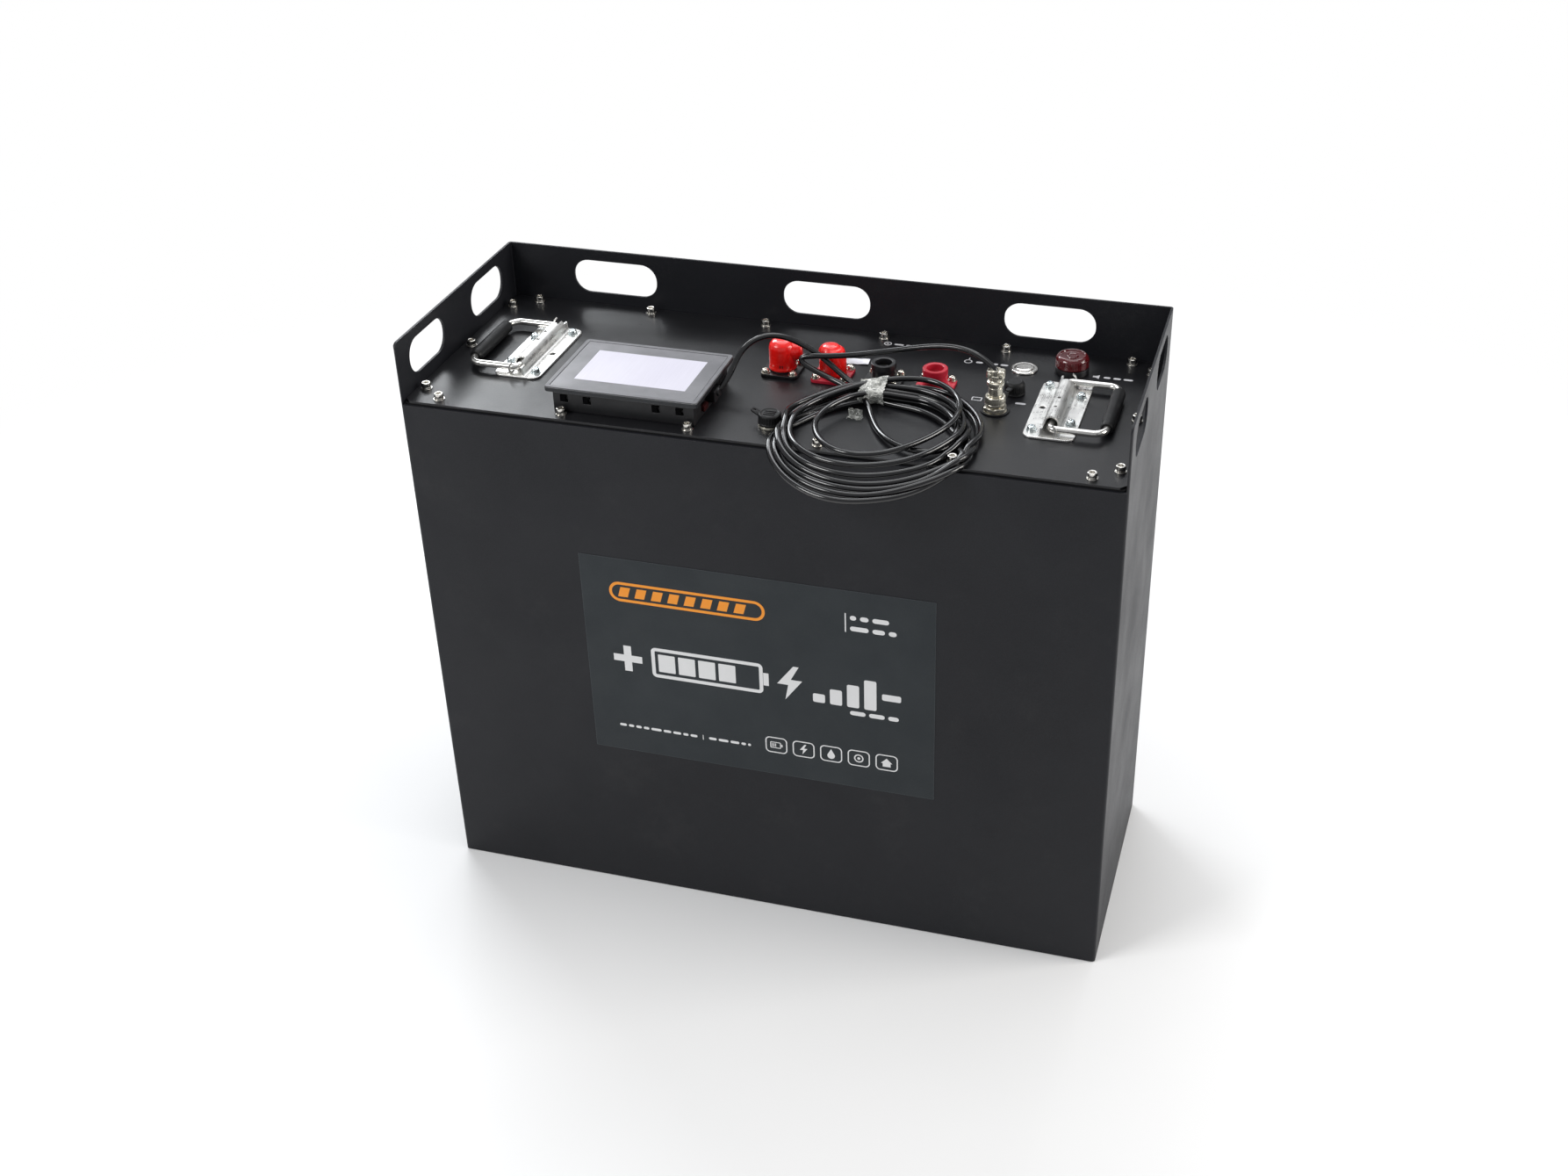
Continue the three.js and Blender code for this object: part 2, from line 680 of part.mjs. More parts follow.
function cellModule(name, x) {
  const x0 = x - MODULE_HALF_L;
  const x1 = x + MODULE_HALF_L;
  const block = (xRange, halfDepth, height) =>
    box(xRange, [-halfDepth, halfDepth], [MODULE_Z0, MODULE_Z0 + height]);
  const parts = [block([x0, x1], 90, 4)];
  for (let i = 0; i < 4; i++) {
    const cellX = x + (i - 1.5) * CELL_PITCH;
    parts.push(block([cellX - 26.6, cellX + 26.6], 87, 207));
    for (const y of [-TERMINAL_Y, TERMINAL_Y]) {
      parts.push(post([cellX, y], [MODULE_Z0 + 206, TERMINAL_TOP], TERMINAL_R, 10));
    }
  }
  parts.push(block([x0, x0 + 4.5], 90, 200), block([x1 - 4.5, x1], 90, 200));
  add(name, join(...parts), FINISH.cells);
}
cellModule("cell_module_left", -MODULE_X);
cellModule("cell_module_right", MODULE_X);

const busbarPart = (halfLength, top) =>
  box(
    [-halfLength, halfLength],
    [TERMINAL_Y - TERMINAL_R, TERMINAL_Y + TERMINAL_R],
    [TERMINAL_TOP + STACK_GAP, TERMINAL_TOP + top],
  );
add("module_busbar", join(busbarPart(60, 3.3), busbarPart(8, 8)), FINISH.copper);

const shelfPart = (xRange, z0) => box(xRange, [-70, 70], [z0, SHELF_TOP]);
add(
  "electronics_shelf",
  join(
    shelfPart([-SHELF_HALF_L, SHELF_HALF_L], SHELF_TOP - SHELF_T),
    shelfPart([-SHELF_HALF_L, -SHELF_HALF_L + SHELF_T], MODULE_Z0),
    shelfPart([SHELF_HALF_L - SHELF_T, SHELF_HALF_L], MODULE_Z0),
  ),
  FINISH.shelf,
);

// Finned box with a lead down to the left module.
const PIGTAIL = [
  [-222, -50, 386], [-234, -70, 387], [-240, -86, 374], [-226, -84, 352],
  [-211.75, -58, 339],
];
const fins = Array.from({ length: 9 }, (_, i) => {
  const x = -212 + i * 23;
  return box([x, x + 4], [-52, 52], [400, 414]);
});
add(
  "bms_unit",
  join(
    box([-230, -10], [-56, 56], [SHELF_TOP + STACK_GAP, 401]),
    ...fins,
    rod(smooth(PIGTAIL, 10), 4, 6),
  ),
  FINISH.bms,
);
add(
  "main_fuse",
  join(
    box([200, 236], [38, 62], [TERMINAL_TOP + STACK_GAP, TERMINAL_TOP + 18]),
    post([212, TERMINAL_Y], [TERMINAL_TOP + 10, TERMINAL_TOP + 26], 4, 10),
  ),
  FINISH.fuse,
);

// A trunk along rows of [x, y, z], branching at its last point to the numbered sockets.
function powerLead(name, trunk, sockets, finish) {
  const [x, y, z] = trunk.at(-1);
  const branches = sockets.map((number) => {
    const socketX = SOCKET_X[number - 1];
    const rows = [
      [x, y, z - 6],
      [x, y, z + 6],
      [socketX, SOCKET_Y, 452],
      [socketX, SOCKET_Y, 465.5],
    ];
    return rod(smooth(rows, 8), 4.5, 6);
  });
  add(name, join(rod(smooth(trunk, 10), 5, 6), ...branches), finish);
}
powerLead(
  "positive_lead",
  [
    [212, 54.5, 362], [212, 72, 362], [208, 84, 372], [196, 85, 390],
    [146, 68, 410], [84, 44, 424],
  ],
  [2, 4],
  FINISH.positive,
);
powerLead(
  "negative_lead",
  [[-9, 12, 388], [-2, 12, 388.4], [14, 8, 396], [30, 0, 414]],
  [1, 3],
  FINISH.negative,
);

export default battery;
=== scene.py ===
# A battery case: a powder-coated tray and lid carrying a touch display, two folding handles,
# four power sockets (two under red covers), a switch, a buzzer and a taped coil of display lead.
# Sizes are millimetres in the case frame: origin under the middle of the tray, +X right along
# the front, front wall towards -Y, +Z up. They become metres where meshes and objects are made.
import math

import bmesh
import bpy
import numpy as np
from mathutils import Matrix, Vector


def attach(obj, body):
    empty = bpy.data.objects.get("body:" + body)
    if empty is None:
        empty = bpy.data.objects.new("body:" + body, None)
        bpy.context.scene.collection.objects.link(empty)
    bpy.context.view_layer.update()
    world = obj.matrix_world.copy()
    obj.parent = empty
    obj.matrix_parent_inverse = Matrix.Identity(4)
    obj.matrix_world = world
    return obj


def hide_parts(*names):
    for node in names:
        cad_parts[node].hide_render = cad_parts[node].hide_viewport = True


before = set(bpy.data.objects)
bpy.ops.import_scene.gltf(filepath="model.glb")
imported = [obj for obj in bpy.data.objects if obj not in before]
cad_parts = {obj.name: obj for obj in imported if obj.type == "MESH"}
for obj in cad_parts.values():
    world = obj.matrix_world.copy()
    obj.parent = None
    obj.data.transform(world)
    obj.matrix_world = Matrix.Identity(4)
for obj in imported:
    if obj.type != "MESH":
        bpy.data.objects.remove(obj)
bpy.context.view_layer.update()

CASE = "battery_case"
MM = 1000  # millimetres in a metre

LID = 491.5  # top face of the lid
FRONT_Y = -118.5  # front wall of the tray
LID_FRONT_Y = -116.0
WALL_TOP = 488.0
SCREW_X = [-281, -168.6, -56.2, 56.2, 168.6, 281]
SCREW_Y = 106.5
SIDE_SCREW_X = 301
DISPLAY_X, DISPLAY_Y = -114.6, -58.15
SOCKET_Y = 18.5
SOCKET_PITCH = 45.5
SOCKET_X = [-12.0 + SOCKET_PITCH * i for i in range(4)]
SWITCH = (191.5, 73.5)
BUZZER = (232.5, 78.5)
PORT = (183.0, -10.5)  # display connector
DUST = (192.5, 25.5)  # its loose dust cap
COMM = (8.5, -83.5)  # communication port


# ------------------------------------------------------------------ shells: (vertices, faces)
def lathe(profile, count=48, at=(0, 0), ring=False):
    """Turned solid. profile is (radius, z) from axis to axis, or a closed loop when ring is set.
    A third entry is a shape function giving a factor on the radius at each angle."""
    angles = np.arange(count) * 2 * math.pi / count
    verts, rows = [], []
    for radius, z, *shape in profile:
        if radius < 1e-6:
            rows.append([len(verts)])
            verts.append((at[0], at[1], z))
            continue
        rows.append(range(len(verts), len(verts) + count))
        for angle in angles:
            reach = radius * (shape[0](angle) if shape else 1.0)
            verts.append((at[0] + reach * math.cos(angle), at[1] + reach * math.sin(angle), z))
    faces = []
    pairs = list(zip(rows, rows[1:])) + ([(rows[-1], rows[0])] if ring else [])
    for low, high in pairs:
        for j in range(count):
            k = (j + 1) % count
            if len(low) == 1:
                faces.append((low[0], high[k], high[j]))
            elif len(high) == 1:
                faces.append((low[j], low[k], high[0]))
            else:
                faces.append((low[j], low[k], high[k], high[j]))
    return verts, faces


def hexagon(angle):
    side = math.pi / 3
    return 1.0 / math.cos((angle + side / 2) % side - side / 2)


def knurl(count, depth):
    return lambda angle: 1.0 - depth * (0.5 + 0.5 * math.cos(angle * count))


def grooves(count, depth):
    return lambda angle: 1.0 - depth * (0.36 < (angle * count / (2 * math.pi)) % 1.0 < 0.64)


def cross(width):
    """Plus-shaped recess within a radius of 1."""

    def shape(angle):
        least = min(abs(math.sin(angle)), abs(math.cos(angle)))
        return min(1.0, width / max(least, 1e-3))

    return shape


def grid_faces(rows, count):
    faces = []
    for i in range(rows - 1):
        low, high = i * count, (i + 1) * count
        for j in range(count):
            k = (j + 1) % count
            faces.append((low + j, low + k, high + k, high + j))
    return faces


def path_axes(path):
    """Points, tangents and the sideways and up axes carried along a path without twist."""
    points = np.array(path, float)
    ends = np.vstack([points[:1], points, points[-1:]])
    along = ends[2:] - ends[:-2]
    along /= np.linalg.norm(along, axis=1, keepdims=True)
    up = np.array([0, 0, 1.0]) if abs(along[0][2]) < 0.9 else np.array([1.0, 0, 0])
    side = np.cross(up, along[0])
    sides = [side / np.linalg.norm(side)]
    for tangent in along[1:]:
        side = sides[-1] - tangent * np.dot(sides[-1], tangent)
        sides.append(side / np.linalg.norm(side))
    sides = np.array(sides)
    return points, along, sides, np.cross(along, sides)


def tube(path, radius, count):
    """Round bar along a path, with slightly domed ends."""
    points, along, sides, ups = path_axes(path)
    angles = np.arange(count) * 2 * math.pi / count
    dome = [(radius * (1 - k) * 0.6, radius * math.cos(math.asin(1 - k))) for k in (0.15, 0.45, 0.75)]
    rings = [(points[0] - along[0] * out, sides[0], ups[0], size) for out, size in dome]
    rings += [(point, side, up, radius) for point, side, up in zip(points, sides, ups)]
    rings += [(points[-1] + along[-1] * out, sides[-1], ups[-1], size) for out, size in dome[::-1]]
    verts = []
    for centre, side, up, size in rings:
        for angle in angles:
            verts.append(tuple(centre + size * (math.cos(angle) * side + math.sin(angle) * up)))
    faces = grid_faces(len(rings), count)
    tip = radius * 0.048
    verts.append(tuple(rings[0][0] - along[0] * tip))
    verts.append(tuple(rings[-1][0] + along[-1] * tip))
    start, end, last = len(verts) - 2, len(verts) - 1, (len(rings) - 1) * count
    for j in range(count):
        k = (j + 1) % count
        faces.append((start, k, j))
        faces.append((end, last + j, last + k))
    return verts, faces


def sweep(path, section):
    """A closed section, given in the (sideways, up) axes of the path, carried along it."""
    points, _, sides, ups = path_axes(path)
    count = len(section)
    verts = []
    for point, side, up in zip(points, sides, ups):
        verts += [tuple(point + x * side + y * up) for x, y in section]
    faces = grid_faces(len(points), count)
    faces.append(tuple(range(count)))
    faces.append(tuple(range(len(verts) - count, len(verts)))[::-1])
    return verts, faces


def catmull(points, step):
    """Smooth route through points, resampled evenly."""
    knots = [np.array(point, float) for point in points]
    knots = [2 * knots[0] - knots[1]] + knots + [2 * knots[-1] - knots[-2]]
    out = []
    for p0, p1, p2, p3 in zip(knots, knots[1:], knots[2:], knots[3:]):
        spans = ((p0, p1), (p1, p2), (p2, p3))
        d = [max(np.linalg.norm(b - a), 1e-6) ** 0.5 for a, b in spans]
        m1 = (p2 - p1) + d[1] * ((p1 - p0) / d[0] - (p2 - p0) / (d[0] + d[1]))
        m2 = (p2 - p1) + d[1] * ((p3 - p2) / d[2] - (p3 - p1) / (d[1] + d[2]))
        count = max(2, int(np.linalg.norm(p2 - p1) / 0.5))
        for j in range(count):
            s = j / count
            out.append(
                (2 * s**3 - 3 * s**2 + 1) * p1
                + (s**3 - 2 * s**2 + s) * m1
                + (-2 * s**3 + 3 * s**2) * p2
                + (s**3 - s**2) * m2
            )
    out.append(knots[-2])
    return resample(out, step)


def distances(points):
    """Length along a path at each of its points."""
    return np.concatenate([[0], np.cumsum(np.linalg.norm(np.diff(points, axis=0), axis=1))])


def resample(path, step):
    points = np.array(path, float)
    length = distances(points)
    stations = np.linspace(0, length[-1], int(round(length[-1] / step)) + 1)
    return np.stack([np.interp(stations, length, points[:, k]) for k in range(3)], axis=1)


# ------------------------------------------------------------------ flat outlines
def rect(width, height, corner, steps=6, x=0.0, y=0.0):
    """Rectangle with rounded corners."""
    out = []
    across, up = width / 2 - corner, height / 2 - corner
    corners = ((across, up, 0), (-across, up, 90), (-across, -up, 180), (across, -up, 270))
    for dx, dy, start in corners:
        for i in range(steps + 1):
            angle = math.radians(start + 90 * i / steps)
            out.append((x + dx + corner * math.cos(angle), y + dy + corner * math.sin(angle)))
    return out


def circle(radius, count, x, y):
    angles = [2 * math.pi * i / count for i in range(count)]
    return [(x + radius * math.cos(angle), y + radius * math.sin(angle)) for angle in angles]


def arc(x, y, radius, start, end, steps):
    angles = [start + (end - start) * i / steps for i in range(steps + 1)]
    return [(x + radius * math.cos(angle), y + radius * math.sin(angle)) for angle in angles]


def stroke(x0, y0, x1, y1, radius, steps):
    """Round-ended stroke from one point to another."""
    angle = math.atan2(y1 - y0, x1 - x0)
    quarter = math.pi / 2
    return arc(x1, y1, radius, angle - quarter, angle + quarter, steps) + arc(
        x0, y0, radius, angle + quarter, angle + 3 * quarter, steps
    )


def outline(x, y, points, size=1):
    return [(x + size * dx, y + size * dy) for dx, dy in points]


def add_object(name, data):
    ob = bpy.data.objects.new(name, data)
    bpy.context.scene.collection.objects.link(ob)
    return ob


def baked(ob):
    """A new mesh of the object with its modifiers applied."""
    bpy.context.view_layer.update()
    return bpy.data.meshes.new_from_object(
        ob.evaluated_get(bpy.context.evaluated_depsgraph_get())
    )


def plate(loops, z0, z1, bevel=0.0, steps=2):
    """Flat sheet from z0 to z1 with the given outline, holes and islands, edges rounded."""
    curve = bpy.data.curves.new("tmp_plate", "CURVE")
    curve.dimensions = "2D"
    curve.fill_mode = "BOTH"
    curve.extrude = (z1 - z0) / 2 - bevel
    curve.bevel_depth = bevel
    curve.bevel_resolution = steps
    curve.offset = -bevel
    for loop in loops:
        spline = curve.splines.new("POLY")
        spline.points.add(len(loop) - 1)
        for point, (x, y) in zip(spline.points, loop):
            point.co = (x, y, 0, 1)
        spline.use_cyclic_u = True
    ob = add_object("tmp_plate", curve)
    mesh = baked(ob)
    verts = [(v.co.x, v.co.y, v.co.z + (z0 + z1) / 2) for v in mesh.vertices]
    faces = [tuple(face.vertices) for face in mesh.polygons]
    bpy.data.objects.remove(ob)
    bpy.data.curves.remove(curve)
    bpy.data.meshes.remove(mesh)
    return verts, faces


def moved(part, pose):
    return [tuple(pose @ Vector(v)) for v in part[0]], part[1]


def shift(x, y, z=0):
    return Matrix.Translation((x, y, z))


def turn(axis, degrees):
    return Matrix.Rotation(math.radians(degrees), 4, axis)


UPRIGHT = turn("X", 90)  # stands a flat part up, its top facing the front


# ------------------------------------------------------------------ meshes and objects
def cleaned(part, weld):
    """Welded, closed and facing out."""
    bm = bmesh.new()
    verts = [bm.verts.new(v) for v in part[0]]
    for face in part[1]:
        try:
            bm.faces.new([verts[i] for i in face])
        except ValueError:  # a face the shell already has, or one that repeats a vertex
            pass
    bmesh.ops.remove_doubles(bm, verts=bm.verts, dist=weld)
    bmesh.ops.recalc_face_normals(bm, faces=bm.faces)
    bm.verts.index_update()
    out = [tuple(v.co) for v in bm.verts], [tuple(v.index for v in f.verts) for f in bm.faces]
    bm.free()
    return out


def mesh_of(name, parts, weld=0.002):
    verts, faces = [], []
    for part in parts:
        part_verts, part_faces = cleaned(part, weld)
        faces += [tuple(i + len(verts) for i in face) for face in part_faces]
        verts += part_verts
    mesh = bpy.data.meshes.new(name)
    mesh.from_pydata([(x / MM, y / MM, z / MM) for x, y, z in verts], [], faces)
    mesh.validate()
    mesh.update()
    return mesh


def smooth(mesh, angle):
    mesh.shade_smooth()
    mesh.set_sharp_from_angle(angle=math.radians(angle))


def shaded_mesh(name, parts, look, angle=32):
    mesh = mesh_of(name, parts)
    smooth(mesh, angle)
    mesh.materials.append(look.material)
    return mesh


def weight_normals(ob, weight=60):
    normals = ob.modifiers.new("normals", "WEIGHTED_NORMAL")
    normals.keep_sharp = True
    normals.weight = weight


def place(name, mesh, slot, body=CASE, replaces=None, at=(0, 0, 0), spin=0, flat=False):
    """Object riding a body; replaces names the CAD node it takes over from."""
    ob = add_object(name, mesh)
    ob.location = [c / MM for c in at]
    ob.rotation_euler = (0, 0, math.radians(spin))
    if flat:
        weight_normals(ob)
    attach(ob, body)
    if replaces:
        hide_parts(replaces)
    return ob


def piece(name, parts, look, slot=None, angle=32, **options):
    """One visible piece from closed shells."""
    return place(name, shaded_mesh(name, parts, look, angle), slot or look.slot, **options)


def stand_in(node, parts, look, **options):
    """Detailed piece taking over from the CAD node of the same name."""
    return piece(node + "_full", parts, look, replaces=node, **options)


def cut_by(ob, tools):
    """Cuts the tool shells out of a piece."""
    for part in tools:
        mesh = mesh_of("tool", [part])
        tool = add_object("tool", mesh)
        cut = ob.modifiers.new("cut", "BOOLEAN")
        cut.object = tool
        cut.operation = "DIFFERENCE"
        cut.solver = "EXACT"
        new = baked(ob)
        ob.modifiers.remove(cut)
        old = ob.data
        ob.data = new
        bpy.data.meshes.remove(old)
        bpy.data.objects.remove(tool)
        bpy.data.meshes.remove(mesh)


def dress(node, look, bevel=0.0, segments=2):
    """Gives a CAD node its finish and soft edges; its mesh and place stay as they are."""
    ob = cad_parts[node]
    ob.data.materials.clear()
    ob.data.materials.append(look.material)
    if bevel:
        ob.modifiers.new("weld", "WELD").merge_threshold = 0.000002
        edge = ob.modifiers.new("edge", "BEVEL")
        edge.width = bevel / MM
        edge.segments = segments
        edge.limit_method = "ANGLE"
        edge.angle_limit = math.radians(40)
        weight_normals(ob)


# ------------------------------------------------------------------ shader nodes
def feed(tree, socket, value):
    if isinstance(value, bpy.types.NodeSocket):
        tree.links.new(value, socket)
    elif socket.type == "RGBA":
        socket.default_value = (*value, 1.0)
    else:
        socket.default_value = value


def add_node(tree, kind, inputs={}, **settings):
    node = tree.nodes.new("ShaderNode" + kind)
    for key, value in settings.items():
        setattr(node, key, value)
    for key, value in inputs.items():
        feed(tree, node.inputs[key], value)
    return node


class Look:
    """One material and a slot name kept with it, which is its name unless given.
    Noise is (scale, detail, roughness) and a band is the input range stretched over `to`.
    Scales are per metre; radii and bump distances are metres."""

    def __init__(self, name, slot=None):
        self.material = bpy.data.materials.new(name)
        self.slot = slot or name
        self.material.use_nodes = True
        self.tree = self.material.node_tree
        self.tree.nodes.clear()
        self.output = self.node("OutputMaterial")
        self.shader = self.node("BsdfPrincipled")
        feed(self.tree, self.output.inputs[0], self.shader.outputs[0])
        self.position = self.node("TexCoord").outputs["Object"]
        self.normal = None

    def node(self, kind, inputs={}, **settings):
        return add_node(self.tree, kind, inputs, **settings)

    def set(self, name, value):
        feed(self.tree, self.shader.inputs[name], value)

    def surface(self, colour, roughness, specular=0.5):
        self.set("Base Color", colour)
        self.set("Roughness", roughness)
        self.set("Specular IOR Level", specular)

    def clear_coat(self, weight, roughness):
        self.set("Coat Weight", weight)
        self.set("Coat Roughness", roughness)

    def stretched(self, scale, rotation=(0, 0, 0)):
        inputs = {"Scale": scale, "Rotation": rotation, "Vector": self.position}
        return self.node("Mapping", inputs).outputs[0]

    def noise(self, scale, detail=3.0, roughness=0.5, vector=None, distortion=0.0):
        inputs = {
            "Scale": scale,
            "Detail": detail,
            "Roughness": roughness,
            "Distortion": distortion,
            "Vector": self.position if vector is None else vector,
        }
        return self.node("TexNoise", inputs).outputs["Fac"]

    def cells(self, scale, vector=None, feature="F1"):
        inputs = {"Scale": scale, "Vector": self.position if vector is None else vector}
        return self.node("TexVoronoi", inputs, feature=feature).outputs["Distance"]

    def step(self, value, band, to=(0.0, 1.0)):
        inputs = {
            "From Min": band[0],
            "From Max": band[1],
            "To Min": to[0],
            "To Max": to[1],
            "Value": value,
        }
        return self.node("MapRange", inputs, interpolation_type="SMOOTHSTEP").outputs[0]

    def cloud(self, noise, band, to=(0.0, 1.0), **options):
        return self.step(self.noise(*noise, **options), band, to)

    def math(self, operation, first, second):
        return self.node("Math", {0: first, 1: second}, operation=operation).outputs[0]

    def times(self, first, second):
        return self.math("MULTIPLY", first, second)

    def mix(self, mask, base, over, amount=None):
        """Colour over base where the mask is 1, at most by amount."""
        if amount is not None:
            mask = self.times(mask, amount)
        return self.node("Mix", {0: mask, 6: base, 7: over}, data_type="RGBA").outputs[2]

    def bump(self, height, distance, strength):
        inputs = {"Distance": distance, "Strength": strength, "Height": height}
        if self.normal is not None:
            inputs["Normal"] = self.normal
        self.normal = self.node("Bump", inputs).outputs[0]
        self.set("Normal", self.normal)

    def noise_bump(self, noise, distance, strength):
        self.bump(self.noise(*noise), distance, strength)

    def edges(self, radius):
        """1 along edges, 0 on flats, from how far the rounded normal leaves the true one."""
        rounded = self.node("Bevel", {"Radius": radius}, samples=4).outputs[0]
        true = self.node("NewGeometry").outputs["Normal"]
        likeness = self.node("VectorMath", {0: rounded, 1: true}, operation="DOT_PRODUCT")
        return self.step(likeness.outputs["Value"], band=(0.995, 0.86))

    def mix_shader(self, mask, under, over):
        mixed = self.node("MixShader", {0: mask, 1: under, 2: over}).outputs[0]
        feed(self.tree, self.output.inputs[0], mixed)


def srgb(*channels):
    def linear(c):
        return c / 12.92 if c <= 0.04045 else ((c + 0.055) / 1.055) ** 2.4

    return tuple(linear(channel / 255) for channel in channels)


def tint(colour, gain, lift=0.0):
    return tuple(min(1, c * gain + lift) for c in colour)


# ------------------------------------------------------------------ kinds of material
def powder(name, dark, light, roughness, specular, edge_wear_and_highlight, grain=1.0, scuffs=0.5):
    """Grainy powder coat with hair scratches and dust; its edges are lightened, partly as worn paint
    and partly as a painted highlight.
    """
    look = Look(name)
    colour = look.mix(look.cloud(noise=(5.0, 4, 0.6), band=(0.3, 0.7)), dark, light)
    fine = look.noise(scale=1150, detail=2, roughness=0.6)
    speckle = look.step(fine, band=(0.35, 0.75))
    colour = look.mix(speckle, colour, tint(light, gain=1.7), amount=0.35)
    along = look.stretched(scale=(6, 1.2, 1.0), rotation=(0.3, 0.5, 0.2))
    streak = look.cloud(noise=(9, 5, 0.65), band=(0.66, 0.8), vector=along, distortion=0.4)
    along = look.stretched(scale=(14, 2, 0.35), rotation=(0.9, 0.5, 0.3))
    hair = look.cloud(noise=(60, 2, 0.5), band=(0.71, 0.735), vector=along)
    scratched = tint(light, gain=6, lift=0.03)
    colour = look.mix(look.times(streak, hair), colour, scratched, amount=0.35 * scuffs)
    dust = look.cloud(noise=(14, 6, 0.7), band=(0.52, 0.85))
    colour = look.mix(dust, colour, over=(0.30, 0.29, 0.27), amount=0.05 * scuffs)
    # lighter edges: partly worn paint, partly a painted highlight along the edge lines
    worn_and_lit = look.cloud(noise=(160, 4, 0.7), band=(0.5, 0.72), to=(0.12, 1.0))
    worn_and_lit_edges = look.times(look.edges(radius=0.0011), worn_and_lit)
    colour = look.mix(worn_and_lit_edges, colour, over=(0.22, 0.22, 0.23), amount=0.35 * edge_wear_and_highlight)
    broad = look.cloud(
        noise=(9, 5, 0.6), band=(0.3, 0.75), to=(roughness - 0.06, roughness + 0.07)
    )
    matt = look.math("ADD", broad, look.step(fine, band=(0.3, 0.8), to=(0.0, 0.1)))
    look.surface(colour, matt, specular)
    look.noise_bump(noise=(650, 2, 0.5), distance=0.00009 * grain, strength=0.6)
    look.bump(look.cells(scale=1500), distance=0.00005 * grain, strength=0.55)
    return look


def plastic(
    name, dark, light, roughness=0.4, grain=0.00004, scale=1800, specular=0.5, edge_wear_and_highlight=0.0,
    coat=0.0, scatter=None, slot=None,
):
    """Moulded plastic or rubber. grain and scale are the depth and scale of the fine bump;
    scatter is the subsurface weight and radius."""
    look = Look(name, slot)
    colour = look.mix(look.cloud(noise=(35, 4, 0.6), band=(0.3, 0.72)), dark, light)
    specks = look.cloud(noise=(420, 3, 0.6), band=(0.55, 0.8))
    colour = look.mix(specks, colour, tint(light, gain=1.6, lift=0.02), amount=0.14)
    # lighter edges: partly wear, partly a painted highlight
    if edge_wear_and_highlight:
        worn_and_lit = tint(light, gain=2.2, lift=0.06)
        colour = look.mix(look.edges(radius=0.0006), colour, worn_and_lit, amount=edge_wear_and_highlight)
    matt = look.cloud(
        noise=(60, 5, 0.65), band=(0.25, 0.8), to=(roughness - 0.07, roughness + 0.12)
    )
    look.surface(colour, matt, specular)
    if coat:
        look.clear_coat(weight=coat, roughness=0.12)
    if scatter:
        look.set("Subsurface Weight", scatter[0])
        look.set("Subsurface Radius", scatter[1])
        look.set("Subsurface Scale", 0.004)
    look.noise_bump(noise=(scale, 3, 0.6), distance=grain, strength=0.6)
    look.noise_bump(noise=(120, 3, 0.5), distance=0.00008, strength=0.25)
    return look


def metal(
    name, dark, light, roughness=0.2, brushed=None, wave=0.00006, tarnish=0.25, scratch=0.3,
    metallic=1.0, fine=0.00002, slot=None,
):
    """Bare metal. brushed is the stretch of the brush lines and fine their depth; wave is the
    depth of the broad bump and scratch the strength of the hair lines."""
    look = Look(name, slot)
    colour = look.mix(look.cloud(noise=(55, 5, 0.65), band=(0.3, 0.7)), dark, light)
    spots = look.cloud(noise=(260, 4, 0.7), band=(0.58, 0.75))
    colour = look.mix(spots, colour, tint(dark, gain=0.45), amount=tarnish)
    matt = look.cloud(
        noise=(90, 5, 0.7), band=(0.25, 0.8), to=(roughness - 0.08, roughness + 0.14)
    )
    if brushed:
        lines = look.noise(scale=900, detail=2, vector=look.stretched(scale=brushed))
        matt = look.math("ADD", matt, look.step(lines, band=(0.4, 0.7), to=(0.0, 0.1)))
        look.bump(lines, distance=fine, strength=0.5)
    look.surface(colour, matt)
    look.set("Metallic", metallic)
    if scratch:
        along = look.stretched(scale=(1, 0.06, 1), rotation=(0.2, 0.4, 0.9))
        hair = look.cloud(noise=(700, 2, 0.5), band=(0.62, 0.66), vector=along)
        look.bump(hair, distance=0.00001, strength=scratch)
    if wave:
        look.noise_bump(noise=(75, 3, 0.5), distance=wave, strength=0.6)
    return look


def ink(name, colour, slot, gaps=0.12):
    """Printed ink, darker where it is thin."""
    look = Look(name, slot)
    thin = look.cloud(noise=(900, 4, 0.7), band=(0.55, 0.75))
    printed_colour = look.mix(thin, colour, tint(colour, gain=0.45), amount=gaps)
    bright = look.cloud(noise=(40, 3), band=(0.3, 0.7), to=(0, 0.12))
    look.surface(
        colour=look.mix(bright, printed_colour, tint(colour, gain=1.1)),
        roughness=look.cloud(noise=(300, 3), band=(0.3, 0.7), to=(0.45 - 0.05, 0.45 + 0.1)),
    )
    look.noise_bump(noise=(1500, 2), distance=0.00002, strength=0.5)
    return look


def label_film():
    look = Look("label_film")
    mottle = look.cloud(noise=(8, 4), band=(0.3, 0.7))
    colour = look.mix(mottle, srgb(29, 35, 39), srgb(34, 40, 44))
    specks = look.cloud(noise=(2200, 2), band=(0.5, 0.8))
    colour = look.mix(specks, colour, over=(0.09, 0.10, 0.11), amount=0.1)
    rim = look.edges(radius=0.0012)
    colour = look.mix(rim, colour, over=(0.12, 0.13, 0.14), amount=0.35)
    matt = look.cloud(noise=(30, 5), band=(0.25, 0.75), to=(0.46, 0.6))
    look.surface(colour, matt, specular=0.35)
    look.noise_bump(noise=(2400, 2), distance=0.00002, strength=0.5)
    look.noise_bump(noise=(11, 3), distance=0.0006, strength=0.12)
    return look


